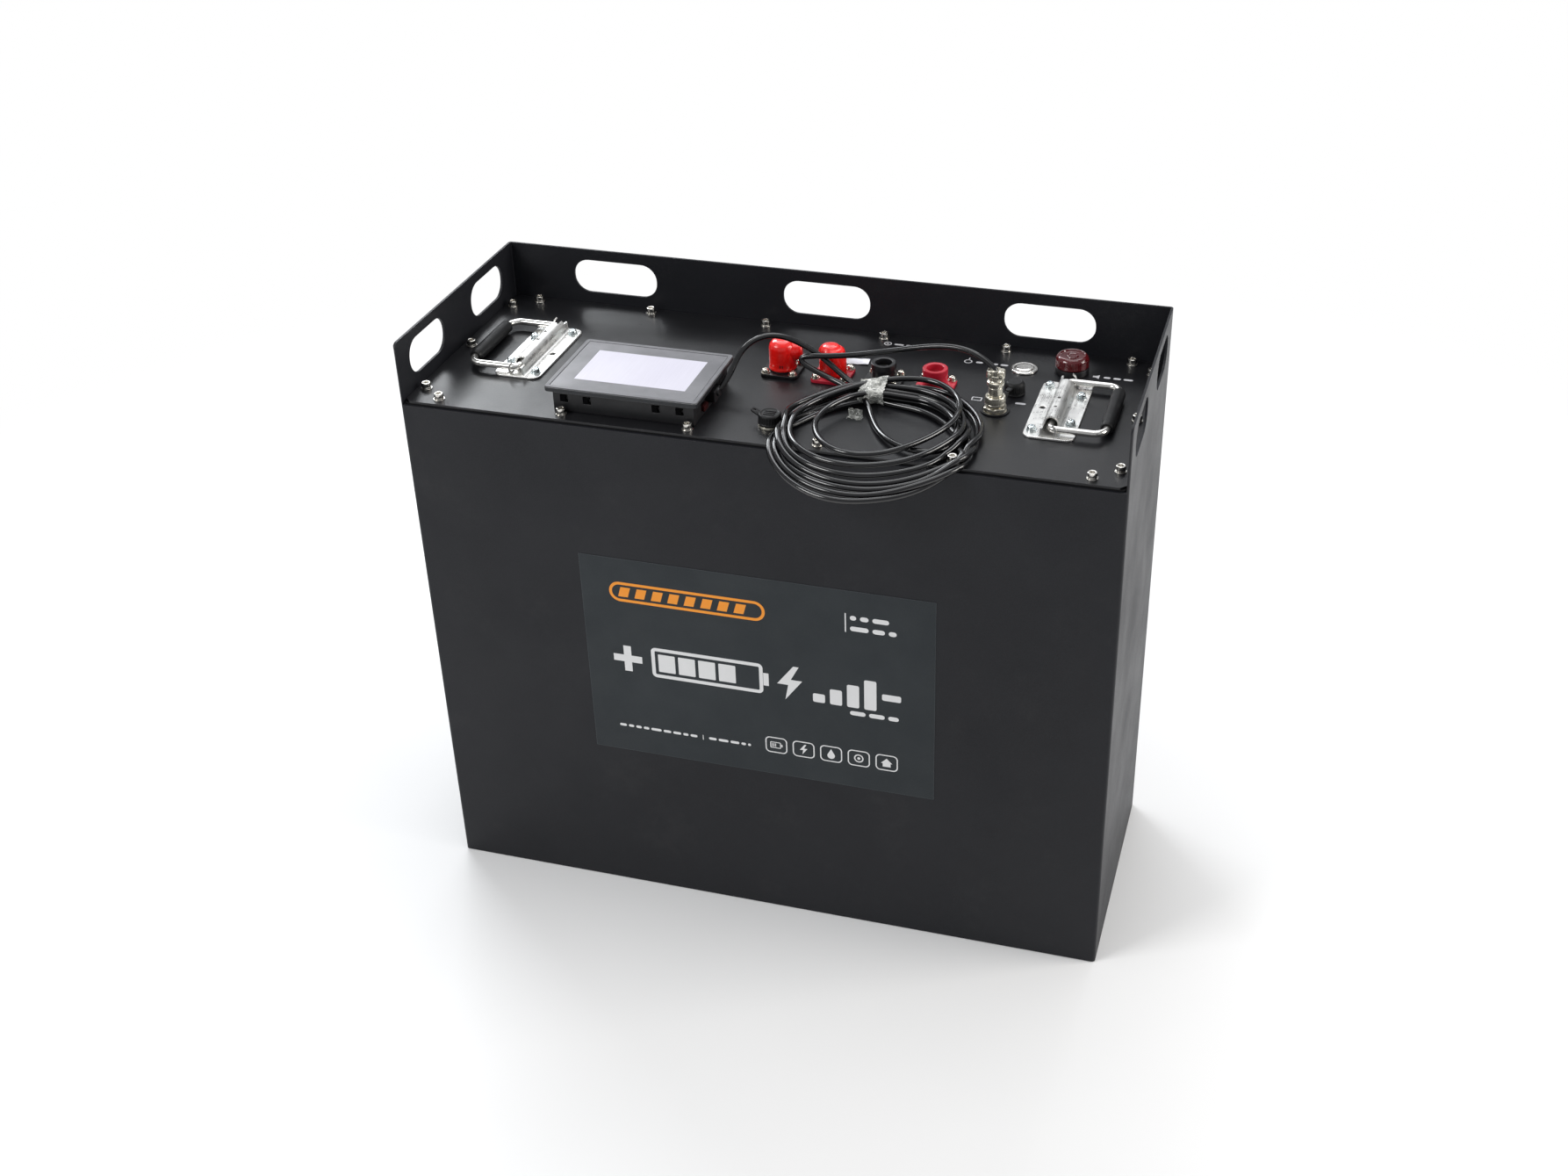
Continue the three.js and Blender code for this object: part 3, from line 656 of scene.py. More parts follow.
def cable_jacket():
    look = Look("cable_jacket")
    mottle = look.cloud(noise=(24, 4), band=(0.3, 0.7))
    colour = look.mix(mottle, base=(0.0022, 0.0022, 0.0027), over=(0.0042, 0.0042, 0.0050))
    dust = look.cloud(noise=(160, 5, 0.7), band=(0.6, 0.9))
    colour = look.mix(dust, colour, over=(0.16, 0.155, 0.15), amount=0.03)
    matt = look.cloud(noise=(40, 4), band=(0.3, 0.8), to=(0.13, 0.2))
    look.surface(colour, matt, specular=0.72)
    look.noise_bump(noise=(1400, 2), distance=0.000006, strength=0.5)
    look.noise_bump(noise=(30, 2), distance=0.00015, strength=0.15)
    return look


def tape_film(name, veil, slot=None):
    """Clear film: mostly see-through, white where it creases and in hazy patches; the white is partly
    the film's own clouding and partly a painted highlight. veil is how much it hides.
    """
    look = Look(name, slot)
    along = look.stretched(scale=(1, 1.5, 1), rotation=(0.2, 0.1, 0.5))
    crease = look.cells(scale=240, vector=along, feature="DISTANCE_TO_EDGE")
    lines = look.step(crease, band=(0.015, 0.09), to=(1.0, 0.0))
    # pale patches and creases: partly the film's clouding, partly a painted highlight of its glints
    haze_and_glint = look.cloud(noise=(130, 5, 0.7), band=(0.36, 0.62), distortion=0.6)
    look.surface(
        colour=look.mix(haze_and_glint, base=(0.55, 0.56, 0.53), over=(0.84, 0.84, 0.80)),
        roughness=look.cloud(noise=(300, 3), band=(0.3, 0.7), to=(0.12, 0.3)),
        specular=0.8,
    )
    look.clear_coat(weight=0.7, roughness=0.08)
    look.bump(crease, distance=0.0006, strength=0.8)
    look.noise_bump(noise=(220, 4, 0.7), distance=0.0006, strength=0.8)
    clear = look.node("BsdfTransparent", {0: (0.93, 0.94, 0.92)}).outputs[0]
    # hazy, glinting patches and creases hide most, and the whole film a little
    hidden = look.math("ADD", look.times(haze_and_glint, veil), look.times(lines, veil * 1.3))
    hidden = look.math("MINIMUM", look.math("ADD", hidden, veil * 0.6), 1.0)
    look.mix_shader(hidden, under=clear, over=look.shader.outputs[0])
    return look


def red_lens():
    look = Look("red_lens")
    mottle = look.cloud(noise=(60, 4), band=(0.3, 0.7))
    look.surface(
        colour=look.mix(mottle, base=(0.085, 0.004, 0.007), over=(0.13, 0.008, 0.012)),
        roughness=look.cloud(noise=(90, 3), band=(0.3, 0.7), to=(0.08, 0.2)),
    )
    look.set("Transmission Weight", 0.25)
    look.set("IOR", 1.49)
    look.clear_coat(weight=0.6, roughness=0.06)
    look.noise_bump(noise=(150, 2), distance=0.0001, strength=0.4)
    return look


def display_glass():
    look = Look("display_glass", "screen")
    mottle = look.cloud(noise=(30, 3), band=(0.3, 0.7))
    # the mid grey is a painted reflection of the bright room in the dark overlay
    colour = look.mix(mottle, srgb(98, 98, 102), srgb(116, 116, 120))
    specks = look.step(look.cells(scale=620), band=(0.10, 0.06))
    specks = look.times(specks, look.cloud(noise=(50, 4), band=(0.45, 0.7)))
    look.surface(
        colour=look.mix(specks, colour, over=(0.62, 0.62, 0.63), amount=0.75),
        roughness=look.cloud(noise=(40, 5), band=(0.3, 0.75), to=(0.3, 0.42)),
        specular=0.4,
    )
    look.noise_bump(noise=(90, 2), distance=0.00004, strength=0.4)
    return look


def lit_screen():
    look = Look("screen")
    mottle = look.cloud(noise=(7, 2), band=(0.2, 0.8))
    glow = look.mix(mottle, base=(0.74, 0.72, 0.86), over=(0.88, 0.87, 0.97))
    along = look.stretched(scale=(1, 0.02, 1))
    lines = look.cloud(noise=(1500, 1, 0.5), band=(0.4, 0.6), to=(0.97, 1.0), vector=along)
    look.surface(
        colour=(0.06, 0.06, 0.07),
        roughness=look.cloud(noise=(30, 3), band=(0.3, 0.7), to=(0.35, 0.5)),
        specular=0.25,
    )
    look.set("Emission Color", glow)
    look.set("Emission Strength", look.times(lines, 0.84))
    look.noise_bump(noise=(70, 2), distance=0.00003, strength=0.3)
    return look


def bezel_plastic():
    """Satin grey on top and darker on its sides, as painted light and shade, with a painted highlight
    along its edges.
    """
    look = Look("display_bezel_plastic", "grey_plastic")
    # faces turned up take the light grey and the sides the dark grey: painted light on top, painted
    # shade on the sides
    normal = look.node("NewGeometry").outputs["Normal"]
    upward = look.node("SeparateXYZ", {0: normal}).outputs["Z"]
    top = look.step(upward, band=(0.55, 0.95))
    mottle = look.cloud(noise=(35, 4, 0.6), band=(0.3, 0.72))
    grey = look.mix(mottle, srgb(94, 94, 98), srgb(110, 110, 114))
    mottle = look.cloud(noise=(60, 4, 0.6), band=(0.3, 0.72))
    side = look.mix(mottle, srgb(27, 29, 32), srgb(36, 38, 41))
    colour = look.mix(top, side, grey)
    # lighter edges: a painted highlight
    rim = look.edges(radius=0.0007)
    look.surface(
        colour=look.mix(rim, colour, over=(0.42, 0.42, 0.43), amount=0.6),
        roughness=look.cloud(noise=(60, 5, 0.65), band=(0.25, 0.8), to=(0.34, 0.48)),
        specular=0.35,
    )
    look.noise_bump(noise=(1600, 3, 0.6), distance=0.00003, strength=0.6)
    return look


# ------------------------------------------------------------------ materials: dark, light
COAT = powder(
    "powder_coat", (0.0080, 0.0084, 0.0108), (0.0118, 0.0124, 0.0152),
    roughness=0.44, specular=0.24, edge_wear_and_highlight=0.9,
)
LID_COAT = powder(
    "powder_coat_lid", (0.0052, 0.0053, 0.0064), (0.0084, 0.0086, 0.0102),
    roughness=0.33, grain=0.7, edge_wear_and_highlight=0.8, scuffs=0.6, specular=0.36,
)
# near-black and without shine: painted shade for the clips' recesses under the bezel
CLIP_SHADE = plastic(
    "clip_painted_shade", (0.0015, 0.0015, 0.0018), (0.003, 0.003, 0.0034),
    roughness=0.8, grain=0.00003, scale=1500, specular=0.05, slot="black_plastic",
)
GASKET = plastic(
    "black_rubber_gasket", (0.004, 0.004, 0.0045), (0.008, 0.008, 0.009),
    roughness=0.62, grain=0.00006, scale=900, specular=0.25,
)
RUBBER = plastic(
    "black_rubber", (0.0040, 0.0041, 0.0046), (0.0075, 0.0076, 0.0085),
    roughness=0.46, grain=0.00005, scale=700, specular=0.28, edge_wear_and_highlight=0.03,
)
BLACK = plastic(
    "black_plastic", (0.0048, 0.0048, 0.0056), (0.009, 0.009, 0.0105),
    roughness=0.34, grain=0.00003, scale=1500, specular=0.45, edge_wear_and_highlight=0.08,
)
HOUSING = plastic(
    "display_shell", (0.0060, 0.0060, 0.0070), (0.0105, 0.0105, 0.0120),
    roughness=0.42, scale=1700, specular=0.4, edge_wear_and_highlight=0.1, slot="black_plastic",
)
RED_COVER = plastic(
    "red_rubber", srgb(232, 12, 10), srgb(250, 30, 22),
    roughness=0.26, grain=0.00002, scale=500, specular=0.55, coat=0.5,
    scatter=(0.25, (1.0, 0.12, 0.08)),
)
RED = plastic(
    "red_plastic", srgb(168, 18, 40), srgb(196, 36, 58),
    roughness=0.38, scale=1200, scatter=(0.1, (1.0, 0.15, 0.15)),
)
CHROME = metal(
    "chrome_rod", (0.70, 0.685, 0.66), (0.80, 0.785, 0.755),
    roughness=0.17, wave=0.0, tarnish=0.0, scratch=0.0, metallic=0.93,
)
ZINC = metal(
    "zinc_plate", (0.76, 0.755, 0.74), (0.86, 0.855, 0.83), roughness=0.27,
    brushed=(1, 0.05, 1), wave=0.0, tarnish=0.0, scratch=0.0, metallic=0.82, fine=0.000004,
)
BLUE_ZINC = metal(
    "zinc_screw", (0.60, 0.67, 0.70), (0.76, 0.80, 0.80),
    wave=0.00003, tarnish=0.15, scratch=0.15, slot="zinc_plate",
)
NICKEL = metal(
    "nickel", (0.60, 0.57, 0.50), (0.75, 0.71, 0.64), wave=0.00002, tarnish=0.15, scratch=0.12
)
BRIGHT_NICKEL = metal(
    "nickel_plug", (0.58, 0.55, 0.47), (0.72, 0.69, 0.60),
    roughness=0.26, wave=0.0, tarnish=0.03, scratch=0.05, metallic=0.9, slot="nickel",
)
STAINLESS = metal(
    "stainless", (0.62, 0.60, 0.56), (0.78, 0.76, 0.72),
    roughness=0.21, wave=0.00002, tarnish=0.15, scratch=0.15,
)
SPRING = metal(
    "spring_steel", (0.42, 0.42, 0.43), (0.60, 0.60, 0.60), roughness=0.3, tarnish=0.4
)
BRASS = metal(
    "socket_pin", (0.62, 0.47, 0.22), (0.78, 0.62, 0.33), roughness=0.25, slot="nickel"
)
RAW_STEEL = metal(
    "raw_steel", (0.20, 0.20, 0.21), (0.33, 0.33, 0.34), roughness=0.48, wave=0.0002, tarnish=0.5
)
ALLOY = metal(
    "alloy_case", (0.42, 0.43, 0.44), (0.56, 0.57, 0.58),
    roughness=0.34, brushed=(0.05, 1, 1), tarnish=0.2,
)
COPPER = metal(
    "copper", (0.68, 0.30, 0.16), (0.80, 0.42, 0.25),
    roughness=0.26, brushed=(0.05, 1, 1), tarnish=0.4,
)
CELL = plastic(
    "cell_case", srgb(38, 92, 140), srgb(52, 110, 158),
    roughness=0.3, grain=0.00002, scale=500, edge_wear_and_highlight=0.2,
)
TERMINAL = plastic(
    "terminal_red", srgb(38, 11, 12), srgb(52, 14, 15),
    roughness=0.6, specular=0.1, slot="red_plastic",
)
FUSE = plastic("fuse_body", (0.02, 0.021, 0.026), (0.035, 0.036, 0.04))
RED_LEAD = plastic("red_lead", srgb(165, 22, 22), srgb(190, 36, 30), scale=700)
BLACK_LEAD = plastic(
    "black_lead", (0.012, 0.012, 0.013), (0.02, 0.02, 0.021), roughness=0.42, scale=700
)
WHITE_INK = ink("ink_white", (0.72, 0.72, 0.72), "label_film")
LID_INK = ink("ink_lid", (0.52, 0.52, 0.54), "powder_coat", gaps=0.35)
ORANGE_INK = ink("ink_orange", srgb(238, 146, 28), "label_film")
LABEL = label_film()
JACKET = cable_jacket()
TAPE = tape_film("clear_tape", veil=0.4)
TAPE_END = tape_film("clear_tape_end", veil=0.1, slot="clear_tape")
LENS = red_lens()
GLASS = display_glass()
SCREEN = lit_screen()
BEZEL = bezel_plastic()
SILVER = metal(
    "silver_tag", (0.50, 0.50, 0.53), (0.62, 0.62, 0.65), roughness=0.42,
    wave=0.00002, tarnish=0.02, scratch=0.05, metallic=0.6, slot="stainless",
)

# ------------------------------------------------------------------ tray, lid, gasket
dress("tray", COAT, bevel=0.9, segments=3)
dress("lid_plate", LID_COAT, bevel=0.5)
dress("lid_gasket", GASKET, bevel=0.2)
dress("front_label", LABEL, bevel=0.08, segments=1)


# ------------------------------------------------------------------ screws
def washer(inner, outer, z, thick, count):
    edge = min(0.15, thick / 4)
    top = z + thick
    profile = [(inner, z + edge), (inner + edge, z), (outer - edge, z), (outer, z + edge)]
    profile += [(outer, top - edge), (outer - edge, top), (inner + edge, top), (inner, top - edge)]
    return lathe(profile, count, ring=True)


def split_washer(radius, width, z, thick):
    """Spring washer: a square-section ring with a gap and a slight lift."""
    path = []
    for i in range(45):
        angle = math.radians(6 + 348 * i / 44)
        lift = z + thick / 2 + 0.25 * (i / 44)
        path.append((radius * math.cos(angle), radius * math.sin(angle), lift))
    h = thick / 2
    w = width / 2
    e = 0.12
    section = [(-w + e, -h), (w - e, -h), (w, -h + e), (w, h - e)]
    section += [(w - e, h), (-w + e, h), (-w, h - e), (-w, -h + e)]
    return sweep(path, section)


def thread(radius, bottom, top, pitch, depth=0.25):
    profile = [(0, bottom), (radius - 0.5, bottom)]
    root = radius - depth
    z = bottom + 0.5
    while z < top - pitch:
        profile += [(radius, z), (radius, z + pitch * 0.2)]
        profile += [(root, z + pitch * 0.5), (root, z + pitch * 0.6)]
        z += pitch
    profile += [(radius - 0.05, top), (0, top)]
    return lathe(profile, 24)


def cap_screw():
    """Socket head screw on a flat and a spring washer; z 0 is the lid."""
    seat, top, r = 1.85, 6.0, 4.0
    grip = knurl(36, 0.035)
    head = [
        (0, seat), (r - 0.2, seat), (r, seat + 0.25, grip), (r, top - 0.75, grip),
        (r - 0.12, top - 0.35), (r - 0.45, top - 0.06), (r - 0.8, top), (2.75, top),
        (2.1, top - 0.25, hexagon), (2.0, top - 0.5, hexagon), (2.0, top - 2.3, hexagon),
        (1.2, top - 2.6), (0, top - 2.75),
    ]
    washers = [washer(2.75, 4.9, 0.05, 0.85, 48), split_washer(3.3, 1.3, 0.9, 0.75)]
    parts = washers + [lathe(head, 72), thread(2.45, -13.9, 1.9, pitch=0.8)]
    return shaded_mesh("cap_screw_mesh", parts, STAINLESS)


def pan_screw(name, look, radius, height, seat, shank):
    """Domed cross-recess screw on a flat and a spring washer."""
    r, top = radius, seat + height
    dome = [(0, seat), (r - 0.15, seat), (r, seat + 0.2)]
    for i in range(1, 8):
        t = i / 8
        z = seat + 0.35 + (height - 0.35) * math.sin(t * math.pi / 2)
        dome.append((r * math.cos(t * 1.15), z))
    dome += [(r * 0.40, top + 0.02), (r * 0.36, top - 0.12, cross(0.30))]
    dome += [(r * 0.30, top - height * 0.45, cross(0.30)), (0, top - height * 0.62)]
    stem = [(0, -shank), (r * 0.42, -shank + 0.4), (r * 0.48, -shank + 1)]
    stem += [(r * 0.48, seat + 0.1), (0, seat + 0.1)]
    parts = [
        washer(r * 0.55, r + 0.75, 0.05, seat * 0.45, 40),
        split_washer(r * 0.80, r * 0.36, 0.05 + seat * 0.45, seat * 0.42),
        lathe(dome, 64),
        lathe(stem, 20),
    ]
    return shaded_mesh(name, parts, look)


def lid_screws():
    mesh = cap_screw()
    screws = []
    for side, y in (("front", -SCREW_Y), ("back", SCREW_Y)):
        screws += [(f"lid_screw_{side}_{i + 1}", x, y) for i, x in enumerate(SCREW_X)]
    for side, x in (("left", -SIDE_SCREW_X), ("right", SIDE_SCREW_X)):
        screws += [(f"lid_screw_{side}_{i + 1}", x, y) for i, y in enumerate((-90, 0, 90))]
    for i, (node, x, y) in enumerate(screws):
        at, spin = (x, y, LID), (i * 67) % 360
        place(node + "_full", mesh, STAINLESS.slot, replaces=node, at=at, spin=spin)


lid_screws()


# ------------------------------------------------------------------ touch display
def display_rect(width, height, corner, steps):
    return rect(width, height, corner, steps, DISPLAY_X, DISPLAY_Y)


def touch_display():
    left, right = DISPLAY_X - 62.75, DISPLAY_X + 62.75
    front = DISPLAY_Y - 42.6
    dress("display_housing", HOUSING, bevel=0.5)
    slab = plate([display_rect(135.6, 97.1, 3.2, 8)], 511.3, 515.2, 0.5, 3)
    rim_loops = [display_rect(135.2, 96.7, 3.0, 8), display_rect(127.9, 89.4, 1.6, 6)]
    rim = plate(rim_loops, 514.6, 516.0, 0.45, 3)
    stand_in("display_bezel", [slab, rim], BEZEL, flat=True)
    glass = plate([display_rect(127.4, 88.9, 1.4, 6)], 515.22, 515.72, 0.15)
    piece("display_glass", [glass], GLASS, replaces="display_screen", flat=True)
    lit = plate([rect(99.0, 57.6, 0.4, 3, -113.6, -57.6)], 515.74, 515.8)
    piece("display_lit_area", [lit], SCREEN)

    # C-shaped clips on the front wall, (x, z)
    hook = [
        (-3.0, 500.4), (3.0, 500.4), (3.0, 501.6), (1.1, 501.6),
        (1.1, 505.4), (3.0, 505.4), (3.0, 506.6), (-3.0, 506.6),
    ]
    hooks = []
    for x in (left + 10, left + 30.5, right - 33.5, right - 12.5):
        hooks.append(moved(plate([hook], 0, 1.5, 0.15, 1), shift(x, front + 1.5) @ UPRIGHT))
    # the clips carry painted shade standing for their dark recesses
    piece("display_clips", hooks, CLIP_SHADE)

    # upright ribs on the right wall
    ribs = []
    for i in range(9):
        rib = plate([stroke(0, 497, 0, 506, 0.55, 4)], 0, 0.5, 0.1, 1)
        pose = shift(right + 0.02, DISPLAY_Y + 10 + i * 3.2) @ turn("Z", 90) @ UPRIGHT
        ribs.append(moved(rib, pose))
    piece("display_side_ribs", ribs, HOUSING)

    x = right - 0.5
    block = [plate([rect(4.0, 10, 0.6, 3, x, DISPLAY_Y - 16)], 494.6, 499.6, 0.35)]
    stud = [(0, 499.5), (1.0, 500.0), (1.0, 500.1), (0.8, 500.3), (0, 500.3)]
    block += [lathe(stud, 20, (x, DISPLAY_Y - 19.0 + i * 3.0)) for i in range(3)]
    piece("display_terminal_block", block, TERMINAL)

    body = plate([rect(8, 17, 0.8, 3, right + 1.6, DISPLAY_Y + 2.5)], 496.2, 506.4, 0.5)
    neck = lathe([(0, 0), (3.9, 0), (4.2, 0.8), (3.7, 6), (3.2, 7), (0, 7)], 28)
    neck = moved(neck, shift(-52.0, -55.2, 502.5) @ turn("Y", 90))
    piece("display_lead_plug", [body, neck], BLACK, flat=True)


touch_display()

# ------------------------------------------------------------------ folding handles
HANDLE_X = 235.0
ROD_Z = 7.0  # middle of the rod above the lid
LEG_Y = 45.0  # legs of the bail either side of the middle
REACH = 45.5  # from the pivot to the grip
CHANNEL_OUTER, CHANNEL_INNER = 6.8, 5.3
HANDLE_SCREWS = ((-15, -41.5), (-15, 41.5), (14.5, -24.5), (14.5, 27))
HANDLE_SCREW = pan_screw("handle_screw_mesh", BLUE_ZINC, radius=3.7, height=2.7, seat=2.0, shank=4.0)


def handle_channel():
    """Arched channel over the pivot with turned-out feet, drawn in (x, z)."""
    foot = [(9.4, 1.7), (9.0, 2.12), (8.2, 2.35), (7.5, 2.8), (7.0, 3.6), (CHANNEL_OUTER, 4.6)]
    section = [(-x, z) for x, z in foot]
    section += arc(0, ROD_Z, CHANNEL_OUTER, math.pi, 0, 24) + foot[::-1]
    section += [(CHANNEL_INNER, 1.7)]
    section += arc(0, ROD_Z, CHANNEL_INNER, 0, math.pi, 24) + [(-CHANNEL_INNER, 1.7)]
    return moved(plate([section], -50.5, 50.5, 0.3), UPRIGHT)


def channel_cuts():
    """Side windows and end notches, then two round holes in the crown."""
    cuts = []
    for side in (1, -1):
        y0, y1 = sorted((side * 35.8, side * 49.1))
        cuts.append(plate([rect(17.8, y1 - y0, 1.6, 5, 5.2, (y0 + y1) / 2)], 3.3, 20))
        y0, y1 = sorted((side * 44, side * 52))
        cuts.append(plate([rect(12, y1 - y0, 1.5, 5, -3, (y0 + y1) / 2)], 9.4, 20))
    for radius, y in ((1.6, 0), (1.3, -17)):
        hole = lathe([(0, 0), (radius, 0), (radius, 8), (0, 8)], 24)
        cuts.append(moved(hole, shift(0, y, 11)))
    return cuts


def bail():
    """The bent rod: half of it, then its mirror back across y 0."""
    inner, outer = 4.6, 10.5  # bend radii at the pivot and at the grip
    half = [(0, 3.0), (0, 12), (0, 26)]
    half += arc(inner, LEG_Y - inner, inner, math.pi, math.pi / 2, 10)
    half += [(16, LEG_Y), (26, LEG_Y)]
    half += arc(REACH - outer, LEG_Y - outer, outer, math.pi / 2, 0, 14)
    half += [(REACH, 12)]
    path = [(x, y, ROD_Z) for x, y in half] + [(x, -y, ROD_Z) for x, y in half[::-1]]
    return tube(path, 3.0, 28)


def grip():
    """Moulded sleeve, a little fuller in the middle, with rolled ends."""
    profile = []
    for i in range(33):
        along = -34 + 68 * i / 32
        roll = min(1.0, (34 - abs(along)) / 2.2)
        swell = 1.15 + 0.25 * math.cos(along / 34 * math.pi / 2)
        profile.append((4.6 + swell * math.sin(roll * math.pi / 2), along))
    profile += [(3.35, 34.0), (3.2, 33.0), (3.2, -33.0), (3.35, -34.0)]
    return moved(lathe(profile, 64, ring=True), shift(REACH, 0, ROD_Z) @ UPRIGHT)


def torsion_spring():
    path = [(4.1, 14.5, 2.9)]
    for i in range(243):
        angle = 2 * math.pi * i / 22
        x, z = 4.1 * math.cos(angle), ROD_Z + 4.1 * math.sin(angle)
        path.append((x, 14.5 + 17.0 * i / 242, z))
    path.append((4.1, 31.6, 2.9))
    return tube(path, 0.55, 10)


def handle(side, prefix):
    """Built with +X outwards and z 0 on the lid; side is -1 at the left and 1 at the right."""
    pose = shift(side * HANDLE_X, 0, LID) @ turn("Z", 0 if side > 0 else 180)
    node = prefix + "_handle"
    base = plate([rect(43, 105, 8, 10), circle(2.6, 28, -14, 2)], 0.1, 2.0, 0.55, 3)
    base = stand_in(node + "_plate", [base], ZINC, flat=True)
    channel = piece(node + "_channel", [handle_channel()], ZINC)
    cut_by(channel, channel_cuts())
    metres = pose.copy()
    metres.translation = metres.translation / MM
    for ob in (base, channel):
        ob.data.transform(metres)
    smooth(channel.data, angle=30)
    weight_normals(channel, weight=50)
    stand_in(node + "_bail", [moved(bail(), pose)], CHROME, body=node, angle=50)
    stand_in(node + "_grip", [moved(grip(), pose)], RUBBER, body=node, angle=50)
    stand_in(node + "_spring", [moved(torsion_spring(), pose)], SPRING, angle=60)
    for i, (x, y) in enumerate(HANDLE_SCREWS):
        at = pose @ Vector((x, y, 2.0))
        spin = 31 * i + (0 if side > 0 else 80)
        place(f"{node}_screw_{i + 1}", HANDLE_SCREW, BLUE_ZINC.slot, at=at, spin=spin)


handle(-1, "left")
handle(1, "right")

# ------------------------------------------------------------------ power sockets
SOCKET_SCREW = pan_screw("socket_screw_mesh", NICKEL, radius=3.15, height=2.3, seat=1.7, shank=5.0)
SCREW_OFFSET = 12.3
SOCKET_BODY = [  # (radius, z), up the outside and down the bore
    (0, 466), (3.0, 466), (3.5, 466.6), (3.5, 474), (9.6, 474), (10.3, 474.8), (10.3, 491.0),
    (11.4, 494.4), (11.2, 495.4), (10.55, 496.4), (10.3, 498.5), (10.15, 503.6), (10.35, 504.6),
    (10.8, 505.4), (10.95, 506.2), (10.95, 510.1), (10.75, 510.7), (10.3, 511.0), (7.9, 511.0),
    (7.45, 510.75), (7.2, 510.2), (7.05, 505.0), (6.7, 504.6), (6.7, 484), (0, 484),
]
SOCKET_CORE = [
    (0, 483.5), (5.1, 483.5), (5.1, 499.6), (4.8, 500.2), (3.4, 500.2), (3.1, 499.8),
    (3.1, 494), (0, 494),
]
SOCKET_PIN = [
    (0, 483.8), (2.4, 483.8), (2.4, 501.0), (2.1, 502.2), (1.4, 502.9), (0, 503.1)
]


def power_socket(i, look):
    x, y = at = (SOCKET_X[i], SOCKET_Y)
    node = f"power_socket_{i + 1}"
    flange = plate([rect(33, 33, 4.2, 8, x, y), circle(9.2, 40, x, y)], LID + 0.1, LID + 3.1, 0.5, 3)
    parts = [flange, lathe(SOCKET_BODY, 72, at), lathe(SOCKET_CORE, 48, at)]
    for angle in (0, 120, 240):
        lug = plate([rect(2.6, 3.4, 0.5, 3)], 499.0, 502.2, 0.3)
        parts.append(moved(lug, shift(x, y) @ turn("Z", angle + 40) @ shift(10.6, 0)))
    for angle in range(0, 360, 60):
        rib = plate([rect(1.9, 0.9, 0.2, 2)], 484.2, 503.0, 0.15, 1)
        parts.append(moved(rib, shift(x, y) @ turn("Z", angle) @ shift(6.2, 0)))
    stand_in(node, parts, look, flat=True)
    piece(node + "_pin", [lathe(SOCKET_PIN, 32, at)], BRASS)
    for j, (dx, dy) in enumerate(((-1, -1), (1, -1), (1, 1), (-1, 1))):
        place(
            f"{node}_screw_{j + 1}", SOCKET_SCREW, NICKEL.slot,
            at=(x + dx * SCREW_OFFSET, y + dy * SCREW_OFFSET, LID + 3.1),
            spin=(37 * j + 53 * i) % 360,
        )


for i, look in enumerate((BLACK, RED, BLACK, RED)):
    power_socket(i, look)


# ------------------------------------------------------------------ red socket covers
def fused(parts):
    """Shells merged into one soft moulding."""
    mesh = mesh_of("boot_tmp", parts)
    ob = add_object("boot_tmp", mesh)
    remesh = ob.modifiers.new("r", "REMESH")
    remesh.mode = "VOXEL"
    remesh.voxel_size = 0.5 / MM
    soften = ob.modifiers.new("s", "SMOOTH")
    soften.factor = 0.5
    soften.iterations = 7
    new = baked(ob)
    verts = [(v.co.x * MM, v.co.y * MM, v.co.z * MM) for v in new.vertices]
    faces = [tuple(face.vertices) for face in new.polygons]
    bpy.data.objects.remove(ob)
    bpy.data.meshes.remove(mesh)
    bpy.data.meshes.remove(new)
    return verts, faces


def socket_cover(i, heading, radius, lean, reach):
    """Round skirt, a domed crown of the given radius leaning off centre, and a blunt outlet
    pointing along heading (radians from +X)."""
    x, y = at = (SOCKET_X[i], SOCKET_Y)
    skirt = [
        (0, 495.3), (11.6, 495.3), (12.35, 496.0), (12.35, 497.6), (11.95, 498.4), (11.9, 508),
        (11.2, 514), (10.2, 517.5), (8.0, 519.4), (0, 519.6),
    ]
    crown = [
        (0, 508), (radius, 508), (radius, 515.5), (radius - 0.9, 518.6),
        (radius - 3.2, 521.2), (radius - 6.5, 522.2), (0, 522.4),
    ]
    snout = [
        (0, 0), (9.0, 0), (8.9, reach - 9.4), (8.3, reach - 2.9), (7.9, reach - 1.0),
        (7.0, reach), (0, reach),
    ]
    pose = shift(x, y, 510.6) @ turn("Z", math.degrees(heading)) @ turn("Y", 90 - 4)
    crown = lathe(crown, 64, (x + lean[0], y + lean[1]))
    cover = fused([lathe(skirt, 64, at), crown, moved(lathe(snout), pose)])
    node = f"socket_{i + 1}_cap"
    ob = stand_in(node, [cover], RED_COVER, body=node, angle=60)
    bore = [(0, 480), (11.35, 480), (11.35, 511.0), (10.6, 512.2), (0, 512.5)]
    cut_by(ob, [lathe(bore, 64, at)])
    smooth(ob.data, angle=50)


socket_cover(0, heading=0.25, radius=11.4, lean=(-0.6, 0.0), reach=17.4)
socket_cover(1, heading=2.3, radius=10.0, lean=(-1.9, 0.4), reach=13.9)

